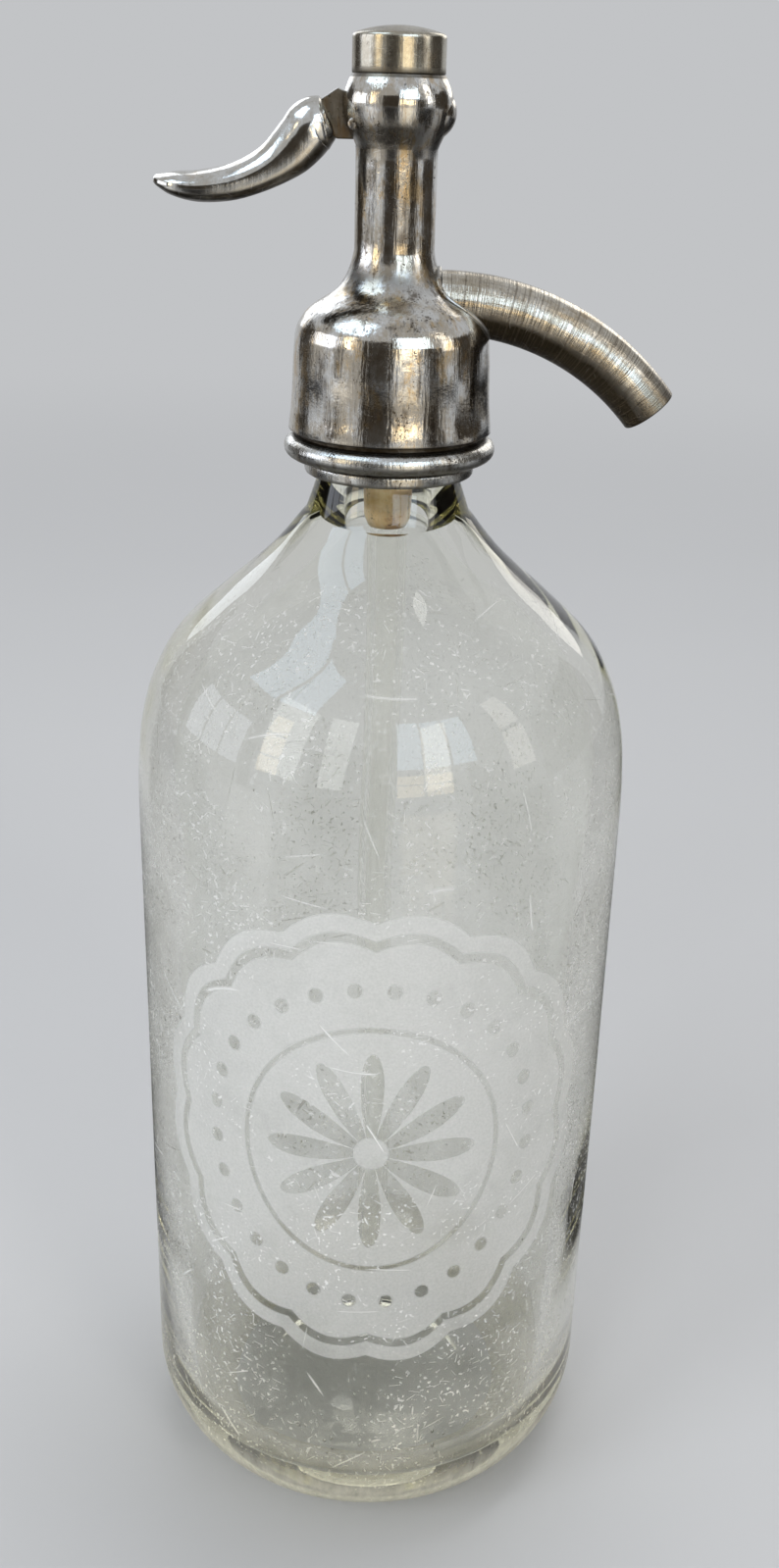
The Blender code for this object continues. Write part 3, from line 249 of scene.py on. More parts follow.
def turned(
    name: str,
    outline: Sequence[Point],
    segments: int,
    closed: bool = False,
    warp: Optional[Warp] = None,
) -> Piece:
    """Turns an outline about the upright axis.

    Args:
        name: Name of the piece.
        outline: Points (r, z); where closed is false, the first and the last lie on the axis.
        segments: Number of steps round the axis.
        closed: Whether the outline is a loop that stays clear of the axis.
        warp: Gives the change of radius at a point, from its index in the outline, its angle and z.

    Returns:
        The piece.
    """
    vertices: list[tuple[float, float, float]] = []
    rings: list[list[int]] = []
    for index, (radius, height) in enumerate(outline):
        if radius < 1e-7:
            rings.append([len(vertices)] * segments)
            vertices.append((0.0, 0.0, height))
            continue
        ring = []
        for step in range(segments):
            angle = math.tau * step / segments
            reach = radius + (warp(index, angle, height) if warp else 0.0)
            ring.append(len(vertices))
            vertices.append((reach * math.cos(angle), reach * math.sin(angle), height))
        rings.append(ring)
    pairs = list(zip(rings, rings[1:]))
    if closed:
        pairs.append((rings[-1], rings[0]))
    faces = []
    for upper, lower in pairs:
        for step in range(segments):
            after = (step + 1) % segments
            corners = (upper[step], upper[after], lower[after], lower[step])
            faces.append(tuple(dict.fromkeys(corners)))
    return link_mesh(name, vertices, [face for face in faces if len(face) > 2])


def half_turned(
    name: str, outline: Sequence[Point], segments: int, side: int, gap: float
) -> Piece:
    """Turns a closed outline through half a turn, with flat ends that stand back from the split.

    Args:
        name: Name of the piece.
        outline: Closed outline of points (r, z), clear of the axis.
        segments: Number of steps in the half turn.
        side: -1 for the half towards the camera, 1 for the other.
        gap: Width of the split between two such halves.

    Returns:
        The piece.
    """
    vertices = []
    for step in range(segments + 1):
        angle = math.pi * step / segments
        for radius, height in outline:
            across = max(radius * math.sin(angle), gap / 2)
            along = math.copysign(math.sqrt(max(radius ** 2 - across ** 2, 0.0)), math.cos(angle))
            vertices.append((along, side * across, height))
    rows = (segments + 1, len(outline))
    return link_mesh(name, vertices, end_faces(*rows) + skin_faces(*rows))


def swept(
    name: str,
    centres: Sequence[Vector],
    ups: Sequence[Vector],
    sections: Sequence[Sequence[Point]],
    ends: bool,
) -> Piece:
    """Skins a row of sections that stand square to a path in the upright plane.

    The straightened place of each point is kept in the attribute "along".

    Args:
        name: Name of the piece.
        centres: Points of the path.
        ups: Direction of each section's second coordinate.
        sections: Outline of each section as (across, up) pairs.
        ends: True to close the two ends, False to join the last section to the first.

    Returns:
        The piece.
    """
    vertices, along = [], []
    travelled = 0.0
    for index, (centre, up, section) in enumerate(zip(centres, ups, sections)):
        if index:
            travelled += (centre - centres[index - 1]).length
        for across, rise in section:
            vertices.append(centre + Vector((0.0, across, 0.0)) + up * rise)
            along.append((across, rise, travelled))
    rows = (len(sections), len(sections[0]))
    faces = skin_faces(*rows, closed=not ends)
    if ends:
        faces += end_faces(*rows)
    piece = link_mesh(name, vertices, faces)
    layer = piece.data.attributes.new("along", "FLOAT_VECTOR", "POINT")
    layer.data.foreach_set("vector", np.array(along, np.float32).ravel())
    return piece


def plate(name: str, outline: Sequence[Point], thickness: float, edge: float) -> Piece:
    """Makes a flat plate in the upright plane with eased edges.

    Args:
        name: Name of the piece.
        outline: Points (x, z) of the plate.
        thickness: Its thickness along Y.
        edge: Size of the easing.

    Returns:
        The piece.
    """
    half = thickness / 2
    count = len(outline)
    vertices = [(x, side * half, z) for side in (-1, 1) for x, z in outline]
    faces = [tuple(range(count)), tuple(range(2 * count - 1, count - 1, -1))]
    faces += skin_faces(2, count)
    piece = link_mesh(name, vertices, faces)
    shape = bmesh.new()
    shape.from_mesh(piece.data)
    rims = [line for line in shape.edges if abs(line.verts[0].co.y - line.verts[1].co.y) < half]
    bmesh.ops.bevel(shape, geom=rims, offset=edge, segments=3, profile=0.5, affect="EDGES")
    shape.to_mesh(piece.data)
    shape.free()
    return piece


def shaped(piece: Piece, tool: Piece, cut: Cut) -> None:
    """Cuts a tool out of a piece or joins it on, and throws the tool away.

    Args:
        piece: The piece that changes.
        tool: The other solid.
        cut: What the tool does.
    """
    modifier = piece.modifiers.new("tool", "BOOLEAN")
    modifier.operation = cut.value
    modifier.solver = "EXACT"
    modifier.object = tool
    bpy.context.view_layer.update()
    made = bpy.data.meshes.new_from_object(piece.evaluated_get(bpy.context.evaluated_depsgraph_get()))
    piece.modifiers.clear()
    piece.data = made
    bpy.data.objects.remove(tool)


def read_rows(data: bpy.types.bpy_prop_collection, name: str, width: int, kind: type = float) -> np.ndarray:
    """Reads one property of all points or edges as rows of numbers."""
    values = np.zeros(len(data) * width, kind)
    data.foreach_get(name, values)
    return values.reshape(-1, width)


def write_layer(piece: Piece, name: str, values: Sequence[float]) -> None:
    """Keeps a number for each point of a piece, for its finish to read."""
    layer = piece.data.attributes.new(name, "FLOAT", "POINT")
    layer.data.foreach_set("value", np.asarray(values, np.float32))


def mark_relief(
    piece: Piece,
    reach: float,
    under: float = 0.0,
    dirt_and_shade: Optional[Callable[[Vector], float]] = None,
    level: float = 0.0,
) -> None:
    """Writes the attribute "wear" on outer edges and a darkening attribute, for the finishes to read: darker
    in corners, painted shade on faces that look down, and extra darkening where asked.

    Args:
        piece: The piece, whose shape is final.
        reach: How much bend counts as a full edge or corner.
        under: How much painted shade the faces get that look down.
        dirt_and_shade: Extra darkening at a place.
        level: How far up a face may look and still get a little painted shade, as the height of its normal.
    """
    mesh = piece.data
    count = len(mesh.vertices)
    places = read_rows(mesh.vertices, "co", 3)
    normals = read_rows(mesh.vertices, "normal", 3)
    pairs = read_rows(mesh.edges, "vertices", 2, np.int64)
    bend, weight = np.zeros(count), np.zeros(count)
    for near, far in ((0, 1), (1, 0)):
        step = places[pairs[:, far]] - places[pairs[:, near]]
        length = np.maximum(np.linalg.norm(step, axis=1), 1e-9)
        rise = np.einsum("ij,ij->i", step, normals[pairs[:, near]]) / length
        np.add.at(bend, pairs[:, near], rise)
        np.add.at(weight, pairs[:, near], 1.0)
    bend /= np.maximum(weight, 1.0)
    soiled_and_shaded = np.clip(bend / reach, 0.0, 1.0)
    # Faces that look down are darkened as painted shade.
    soiled_and_shaded = np.maximum(soiled_and_shaded, under * np.clip(2.0 * (level - normals[:, 2]), 0.0, 1.0))
    if dirt_and_shade:
        soiled_and_shaded = np.maximum(soiled_and_shaded, np.array([dirt_and_shade(Vector(place)) for place in places]))
    worn = np.clip(-bend / reach, 0.0, 1.0) * (1.0 - np.clip(soiled_and_shaded, 0.0, 1.0))
    write_layer(piece, "wear", worn)
    write_layer(piece, "dirt_and_shade", soiled_and_shaded)


def smooth_faces(piece: Piece, angle: float = 38.0) -> None:
    """Shades a piece smooth, apart from edges sharper than an angle in degrees."""
    piece.data.shade_smooth()
    piece.data.set_sharp_from_angle(angle=math.radians(angle))


def dress(piece: Piece, material: Material) -> None:
    """Gives a piece one material in place of what it has."""
    piece.data.materials.clear()
    piece.data.materials.append(material)


def seat(
    piece: Piece, material: Material, slot: str, body: Body, *nodes: str
) -> None:
    """Gives a piece its finish, its body and the frame's nodes that it stands for.

    Args:
        piece: The piece.
        material: Its finish.
        slot: Material slot of the record; not used.
        body: The body that it rides on.
        nodes: The nodes that it replaces.
    """
    dress(piece, material)
    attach(piece, body.value)
    if nodes:
        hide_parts(*nodes)
    stands_for = ", ".join(nodes) or "itself"
    LOG.info("%s: %d faces, stands for %s", piece.name, len(piece.data.polygons), stands_for)


@dataclass(frozen=True)
class Grain:
    """One noise of a finish: how fine and rough it is, and how its coordinates are stretched and turned."""

    scale: float
    detail: float = 3.0
    roughness: float = 0.55
    stretch: Optional[Triple] = None
    turn: Triple = (0.0, 0.0, 0.0)


class Graph:
    """Short calls that build shader nodes in one tree."""

    def __init__(self, tree: Tree) -> None:
        """Takes the tree that the nodes go into."""
        self.tree = tree

    def node(self, kind: str, **settings: object) -> Node:
        """Adds a node of a kind and sets its properties."""
        made = self.tree.nodes.new(kind)
        for name, value in settings.items():
            setattr(made, name, value)
        return made

    def put(self, socket: Socket, value: Value) -> None:
        """Links a socket to another one, or sets it to a plain value."""
        if isinstance(value, Socket):
            self.tree.links.new(value, socket)
        else:
            socket.default_value = value

    def fill(self, node: Node, **values: Value) -> None:
        """Fills inputs of a node by their names, in which an underscore stands for a space."""
        for name, value in values.items():
            self.put(node.inputs[name.replace("_", " ")], value)

    def made(self, kind: str, *values: Value, **settings: object) -> Socket:
        """Adds a node, fills its first inputs in order and returns its first output."""
        node = self.node(kind, **settings)
        for socket, value in zip(node.inputs, values):
            self.put(socket, value)
        return node.outputs[0]

    def math(self, operation: str, *values: Value) -> Socket:
        """Adds a sum of one or two values."""
        return self.made("ShaderNodeMath", *values, operation=operation)

    def chained(self, operation: str, values: Sequence[Value]) -> Socket:
        """Joins values by one operation, from the first to the last."""
        return reduce(lambda first, second: self.math(operation, first, second), values)

    def times(self, *values: Value) -> Socket:
        """Multiplies values with each other."""
        return self.chained("MULTIPLY", values)

    def plus(self, *values: Value) -> Socket:
        """Adds values up."""
        return self.chained("ADD", values)

    def larger(self, *values: Value) -> Socket:
        """Takes the largest of some values."""
        return self.chained("MAXIMUM", values)

    def minus(self, first: Value, second: Value) -> Socket:
        """Takes the second value from the first."""
        return self.math("SUBTRACT", first, second)

    def rest(self, value: Value) -> Socket:
        """Adds what a value lacks to 1."""
        return self.math("SUBTRACT", 1.0, value)

    def distance(self, first: Value, second: Value) -> Socket:
        """Adds the length of the line that two values span at right angles."""
        return self.math("SQRT", self.plus(self.times(first, first), self.times(second, second)))

    def weighed(self, *pairs: tuple[Value, float]) -> Socket:
        """Adds up values, each times its weight."""
        return self.plus(*[self.times(*pair) for pair in pairs])

    def vector_math(self, operation: str, first: Value, second: Value) -> Socket:
        """Adds a vector sum and returns its vector."""
        return self.made("ShaderNodeVectorMath", first, second, operation=operation)

    def step(self, value: Value, low: float, high: float) -> Socket:
        """Adds a soft step that rises from 0 to 1 between two values."""
        return self.made("ShaderNodeMapRange", value, low, high, 0.0, 1.0, interpolation_type="SMOOTHSTEP")

    def span(self, value: Value, low: Value, high: Value) -> Socket:
        """Adds a map from 0..1 to a range between two values."""
        return self.made("ShaderNodeMapRange", value, 0.0, 1.0, low, high)

    def mix(self, factor: Value, first: Value, second: Value) -> Socket:
        """Adds a mix of two colours and returns the colour."""
        made = self.node("ShaderNodeMix", data_type="RGBA")
        for index, value in ((0, factor), (6, first), (7, second)):
            self.put(made.inputs[index], value)
        return made.outputs[2]

    def noise(self, place: Value, grain: Grain) -> Socket:
        """Adds a noise texture and returns its grey value."""
        if grain.stretch:
            mapping = self.node("ShaderNodeMapping")
            turn = [math.radians(angle) for angle in grain.turn]
            self.fill(mapping, Vector=place, Rotation=turn, Scale=grain.stretch)
            place = mapping.outputs[0]
        made = self.node("ShaderNodeTexNoise")
        self.fill(made, Vector=place, Scale=grain.scale, Detail=grain.detail, Roughness=grain.roughness)
        return made.outputs[0]

    def parts(self, place: Value) -> tuple[Socket, ...]:
        """Splits coordinates into X, Y and Z."""
        made = self.node("ShaderNodeSeparateXYZ")
        self.put(made.inputs[0], place)
        return tuple(made.outputs)

    def room(self) -> Socket:
        """Adds the coordinates of the frame, in metres."""
        return self.node("ShaderNodeTexCoord").outputs["Object"]

    def attribute(self, name: str, output: str = "Fac") -> Socket:
        """Adds a reader of an attribute of the mesh."""
        return self.node("ShaderNodeAttribute", attribute_name=name).outputs[output]

    def length(self, place: Value) -> Socket:
        """Adds the length of a vector and returns it."""
        made = self.node("ShaderNodeVectorMath", operation="LENGTH")
        self.put(made.inputs[0], place)
        return made.outputs["Value"]

    def seen(self) -> Socket:
        """Adds a mask that is 1 for what the camera, a reflection or the glass shows."""
        path = self.node("ShaderNodeLightPath").outputs
        return self.larger(path["Is Camera Ray"], path["Is Glossy Ray"], path["Is Transmission Ray"])

    def use(self, group: Tree, **values: Value) -> bpy.types.NodeOutputs:
        """Places a node group, fills its inputs and returns its outputs."""
        made = self.node("ShaderNodeGroup", node_tree=group)
        self.fill(made, **values)
        return made.outputs

    def raise_surface(self, shader: Node, height: Value, distance: float, strength: float) -> None:
        """Feeds a height through a bump into a shader.

        Args:
            shader: The surface shader.
            height: The height, from 0 to 1.
            distance: Depth of the relief in metres.
            strength: Share of it that shows.
        """
        bump = self.node("ShaderNodeBump")
        self.fill(bump, Distance=distance, Strength=strength, Height=height)
        self.put(shader.inputs["Normal"], bump.outputs[0])

    def output(self) -> Node:
        """Finds the output of a material."""
        return next(node for node in self.tree.nodes if node.type == "OUTPUT_MATERIAL")


def effect(
    name: str, inputs: dict[str, str], outputs: dict[str, str]
) -> tuple[Graph, bpy.types.NodeOutputs, Node]:
    """Starts a shader node group.

    Args:
        name: Name of the group.
        inputs: Name and kind of each input, a kind being Float, Vector or Color.
        outputs: Name and kind of each output.

    Returns:
        The graph of the group, the inputs as they arrive inside it, and the node that takes its outputs.
    """
    tree = bpy.data.node_groups.new(name, "ShaderNodeTree")
    for way, sockets in (("INPUT", inputs), ("OUTPUT", outputs)):
        for label, kind in sockets.items():
            tree.interface.new_socket(name=label, in_out=way, socket_type="NodeSocket" + kind)
    graph = Graph(tree)
    return graph, graph.node("NodeGroupInput").outputs, graph.node("NodeGroupOutput")


@dataclass(frozen=True)
class PlatingEffect:
    """Old plating: streaks, cloudy patches, bare warm metal, tarnish, pits, and a darkening that carries dirt
    together with painted shade.

    A rise is the stretch of a noise over which a mark fades in, a weight its share in a sum.
    """

    streak: Grain = Grain(1300.0, 3.0, 0.6, (1.0, 1.0, 0.08))
    broad: Grain = Grain(330.0, 4.0, 0.65, (1.0, 1.0, 0.28))
    cloud: Grain = Grain(190.0, 4.0, 0.68)
    patch: Grain = Grain(210.0, 5.0, 0.72, (1.0, 1.0, 0.50), (20.0, 35.0, 10.0))
    speck: Grain = Grain(2300.0, 1.0, 0.5)
    cool_weights: Range = (1.0, 0.40)
    cool_rise: Range = (0.58, 0.84)
    bare_rise: Range = (0.53, 0.64)
    stain_weights: Range = (0.58, 0.42)
    stain_rise: Range = (0.51, 0.64)
    pit_rise: Range = (0.60, 0.68)
    pit_field_rise: Range = (0.44, 0.60)
    edge_polish: float = 0.65
    soil_and_shade_span: Range = (0.45, 1.45)
    rough_weights: tuple[float, ...] = (0.12, 0.09, 0.30, 0.08, -0.05)
    height_weights: Range = (0.85, 1.1)

    def build(self) -> Tree:
        """Builds the group."""
        given = dict.fromkeys(("Plate", "Cool", "Warm", "Tarnish", "Grime"), "Color")
        given.update(dict.fromkeys(("Cloud", "Bare", "Stain", "Pits", "Wear", "Dirt"), "Float"))
        wanted = {"Color": "Color", "Roughness": "Float", "Height": "Float"}
        g, take, made = effect("plating wear", {"Place": "Vector", **given}, wanted)
        grains = (self.streak, self.broad, self.cloud, self.patch, self.speck)
        streak, broad, cloud, patch, speck = [g.noise(take["Place"], grain) for grain in grains]
        cool = g.weighed(*zip((cloud, streak), self.cool_weights))
        cool = g.times(g.step(cool, *self.cool_rise), take["Cloud"])
        bare = g.times(g.step(patch, *self.bare_rise), take["Bare"])
        stain = g.weighed(*zip((broad, streak), self.stain_weights))
        stain = g.times(g.step(stain, *self.stain_rise), take["Stain"])
        pits = g.times(g.step(speck, *self.pit_rise), g.step(broad, *self.pit_field_rise), take["Pits"])
        colour = g.mix(cool, take["Plate"], take["Cool"])
        colour = g.mix(bare, colour, take["Warm"])
        colour = g.mix(stain, colour, take["Tarnish"])
        colour = g.mix(g.times(take["Wear"], self.edge_polish), colour, take["Cool"])
        # The darkening input, dirt together with painted shade, mixes the colour towards the dark grime
        # colour.
        soil_and_shade = g.times(take["Dirt"], g.span(cloud, *self.soil_and_shade_span))
        soil_and_shade = g.math("MINIMUM", g.larger(soil_and_shade, pits), 1.0)
        colour = g.mix(soil_and_shade, colour, take["Grime"])
        rough = g.weighed(*zip((cloud, streak, soil_and_shade, bare, take["Wear"]), self.rough_weights))
        height = g.weighed(*zip((streak, cloud), self.height_weights))
        g.fill(made, Color=colour, Roughness=rough, Height=height)
        return g.tree


@dataclass(frozen=True)
class ScratchEffect:
    """Scuffs: short straight scratches that lie every way, each fading out towards its ends."""

    fade: Range = (0.30, 0.58)

    def build(self) -> Tree:
        """Builds the group."""
        given = {"Place": "Vector", "Scale": "Float", "Width": "Float", "Share": "Float"}
        g, take, made = effect("scratches", given, {"Mask": "Float"})
        place = g.vector_math("MULTIPLY", take["Place"], take["Scale"])
        cells = g.node("ShaderNodeTexVoronoi")
        g.fill(cells, Vector=place, Scale=1.0)
        turn = g.node("ShaderNodeVectorRotate", rotation_type="EULER_XYZ")
        g.fill(
            turn,
            Vector=g.vector_math("SUBTRACT", place, cells.outputs["Position"]),
            Rotation=g.vector_math("MULTIPLY", cells.outputs["Color"], (math.tau, math.tau, math.tau)),
        )
        across = g.math("ABSOLUTE", g.parts(turn.outputs[0])[0])
        thin = g.rest(g.math("MINIMUM", g.math("DIVIDE", across, take["Width"]), 1.0))
        near = g.rest(g.step(cells.outputs["Distance"], *self.fade))
        chosen = g.math("LESS_THAN", g.parts(cells.outputs["Color"])[1], take["Share"])
        g.fill(made, Mask=g.times(thin, near, chosen))
        return g.tree


@dataclass(frozen=True)
class RingEffect:
    """Tool marks: fine rings square to the length of a turned piece."""

    grain: Grain = Grain(1.0, 3.0, 0.7)

    def build(self) -> Tree:
        """Builds the group."""
        g, take, made = effect("tool rings", {"Place": "Vector", "Scale": "Float"}, {"Height": "Float"})
        along = g.node("ShaderNodeCombineXYZ")
        g.fill(along, Z=g.times(g.parts(take["Place"])[2], take["Scale"]))
        g.fill(made, Height=g.noise(along.outputs[0], self.grain))
        return g.tree


@dataclass(frozen=True)
class FrostedPanel:
    """The frosted panel on the front of the bottle: a scalloped field with a clear line, beads and a rosette.

    Shares and widths are of its half size.
    """

    centre_height: float = 0.1060
    half_height: float = 0.0540
    half_angle: float = math.radians(57.0)
    scallops: int = 16
    scallop_depth: float = 0.045
    edge_share: float = 0.94
    line_share: float = 0.85
    line_width: float = 0.018
    ring_share: float = 0.52
    rosette_share: float = 0.42
    eye_share: float = 0.07
    petals: int = 12
    petal_power: float = 0.7
    beads: int = 28
    bead_share: float = 0.68
    bead_radius: float = 0.028
    softness: float = 0.008
    outside: Range = (0.0470, 0.0475)
    wear: Grain = Grain(55.0, 3.0, 0.6)
    wear_rise: Range = (0.25, 0.55)
    wear_span: Range = (0.72, 1.0)

    def within(self, g: Graph, distance: Value, edge: float) -> Socket:
        """Adds a mask, soft at its edge, of what lies nearer than a distance."""
        return g.rest(g.step(distance, edge - self.softness, edge + self.softness))

    def build(self) -> Tree:
        """Builds the group."""
        g, take, made = effect("frosted panel", {"Place": "Vector"}, {"Mask": "Float"})
        x, y, z = g.parts(take["Place"])
        across = g.math("DIVIDE", g.math("ARCTAN2", x, g.times(y, -1.0)), self.half_angle)
        rise = g.math("DIVIDE", g.minus(z, self.centre_height), self.half_height)
        reach = g.distance(across, rise)
        bearing = g.math("ARCTAN2", rise, across)
        scallop = g.math("ABSOLUTE", g.math("SINE", g.times(bearing, self.scallops / 2)))
        edge = g.minus(reach, g.times(scallop, self.scallop_depth))
        line = self.within(g, g.math("ABSOLUTE", g.minus(edge, self.line_share)), self.line_width)
        ring = self.within(g, g.math("ABSOLUTE", g.minus(reach, self.ring_share)), self.line_width / 2)
        petal = g.math("ABSOLUTE", g.math("COSINE", g.times(bearing, self.petals / 2)))
        petal = g.times(g.math("POWER", petal, self.petal_power), self.rosette_share)
        eye = g.step(reach, self.eye_share - self.softness, self.eye_share + self.softness)
        leaf = g.times(self.within(g, g.minus(reach, petal), 0.0), eye)
        count = self.beads / math.tau
        slot = g.minus(g.math("FRACT", g.times(bearing, count)), 0.5)
        side = g.times(g.math("DIVIDE", slot, count), reach)
        bead = self.within(g, g.distance(side, g.minus(reach, self.bead_share)), self.bead_radius)
        clear = g.larger(line, ring, leaf, bead)
        outside = g.step(g.distance(x, y), *self.outside)
        worn = g.span(g.step(g.noise(take["Place"], self.wear), *self.wear_rise), *self.wear_span)
        frosted = self.within(g, edge, self.edge_share)
        g.fill(made, Mask=g.times(frosted, g.rest(clear), worn, outside))
        return g.tree


class Effects:
    """The shared node groups, each built once."""

    def __init__(self) -> None:
        """Builds the groups."""
        self.plating = PlatingEffect().build()
        self.scratches = ScratchEffect().build()
        self.rings = RingEffect().build()
        self.panel = FrostedPanel().build()


@dataclass(frozen=True)
class Scratches:
    """One set of scratches: how fine and how wide they are, and what share of the places has one."""

    scale: float
    width: float
    share: float

    def mask(self, g: Graph, effects: Effects, place: Value) -> Socket:
        """Adds the mask of the scratches."""
        sizes = {"Scale": self.scale, "Width": self.width, "Share": self.share}
        return g.use(effects.scratches, Place=place, **sizes)["Mask"]


def new_material(name: str) -> tuple[Material, Graph, Node]:
    """Starts a material with an empty Principled surface.

    Args:
        name: Name of the material.

    Returns:
        The material, its graph and its surface shader.
    """
    material = bpy.data.materials.new(name)
    material.use_nodes = True
    material.node_tree.nodes.clear()
    graph = Graph(material.node_tree)
    shader = graph.node("ShaderNodeBsdfPrincipled")
    graph.fill(graph.node("ShaderNodeOutputMaterial"), Surface=shader.outputs[0])
    return material, graph, shader


def rgba(colour: Colour) -> tuple[float, float, float, float]:
    """Adds a full alpha to a colour."""
    return (*colour, 1.0)


@dataclass(frozen=True)
class NickelFinish:
    """Worn nickel plate over brass, as one piece of the head shows it."""

    name: str
    plate: Colour = (0.53, 0.475, 0.39)
    cool: Colour = (0.78, 0.785, 0.775)
    warm: Colour = (0.52, 0.34, 0.12)
    tarnish: Colour = (0.150, 0.120, 0.088)
    # Colour of dirt, pits and painted shade.
    grime_and_shade: Colour = (0.055, 0.042, 0.026)
    cloud: float = 0.75
    bare: float = 0.5
    stain: float = 0.6
    pits: float = 0.7
    scratches: Scratches = Scratches(620.0, 0.035, 0.6)
    scuffs: float = 0.35
    scuff_roughness: float = 0.20
    roughness: float = 0.03
    relief: float = 0.000075
    relief_strength: float = 0.8
    rings: float = 0.0
    ring_scale: float = 3000.0
    ring_rise: Range = (0.49, 0.62)
    ring_shade: float = 0.0
    # An even darkening used in place of the mesh's, set only for the tang's painted shadow; negative to read
    # the mesh.
    flat_shade: float = -1.0
    lay: Lay = Lay.ROOM

    def material(self, effects: Effects) -> Material:
        """Builds the material."""
        material, g, shader = new_material(self.name)
        place = g.room() if self.lay is Lay.ROOM else g.attribute("along", "Vector")
        even = self.flat_shade >= 0.0
        wear = g.use(
            effects.plating,
            Place=place,
            Plate=rgba(self.plate),
            Cool=rgba(self.cool),
            Warm=rgba(self.warm),
            Tarnish=rgba(self.tarnish),
            Grime=rgba(self.grime_and_shade),
            Cloud=self.cloud,
            Bare=self.bare,
            Stain=self.stain,
            Pits=self.pits,
            # The darkening read from the mesh carries dirt and painted shade on faces that look down.
            Wear=0.0 if even else g.attribute("wear"),
            Dirt=self.flat_shade if even else g.attribute("dirt_and_shade"),
        )
        scuffs = g.times(self.scratches.mask(g, effects, place), self.scuffs)
        rings = g.use(effects.rings, Place=place, Scale=self.ring_scale)["Height"]
        shade = g.times(g.step(rings, *self.ring_rise), self.ring_shade)
        colour = g.mix(shade, wear["Color"], rgba(self.tarnish))
        rough = g.plus(wear["Roughness"], self.roughness, g.times(scuffs, self.scuff_roughness))
        g.fill(shader, Base_Color=g.mix(scuffs, colour, rgba(self.cool)), Roughness=rough, Metallic=1.0)
        height = g.plus(wear["Height"], g.times(rings, self.rings))
        g.raise_surface(shader, height, self.relief, self.relief_strength)
        return material


@dataclass(frozen=True)
class GlassFinish:
    """Old clear glass, faintly tinted in its depth and, where asked, ground inside the frosted panel."""

    name: str
    clear: Colour = (0.985, 0.988, 0.975)
    frosted: Colour = (0.88, 0.89, 0.87)
    depth_tint: Colour = (0.80, 0.775, 0.54)
    density: float = 12.5
    refraction: float = 1.50
    polish: float = 0.004
    haze: float = 0.03
    haze_grain: Grain = Grain(42.0, 3.0, 0.6)
    haze_rise: Range = (0.40, 0.70)
    frost: float = 0.34
    ripple: Grain = Grain(60.0, 0.0, 0.4)
    ripple_depth: float = 0.00020
    ripple_strength: float = 0.5
    panel: bool = False

    def material(self, effects: Effects) -> Material:
        """Builds the material."""
        material, g, shader = new_material(self.name)
        place = g.room()
        rough = g.times(g.step(g.noise(place, self.haze_grain), *self.haze_rise), self.haze)
        colour = rgba(self.clear)
        if self.panel:
            mask = g.use(effects.panel, Place=place)["Mask"]
            colour = g.mix(mask, colour, rgba(self.frosted))
            rough = g.larger(rough, g.times(mask, self.frost))
        g.fill(shader, Base_Color=colour, Roughness=g.plus(rough, self.polish))
        g.fill(shader, IOR=self.refraction, Transmission_Weight=1.0)
        g.raise_surface(shader, g.noise(place, self.ripple), self.ripple_depth, self.ripple_strength)
        depth = g.node("ShaderNodeVolumeAbsorption")
        g.fill(depth, Color=rgba(self.depth_tint), Density=self.density)
        g.fill(g.output(), Volume=depth.outputs[0])
        return material


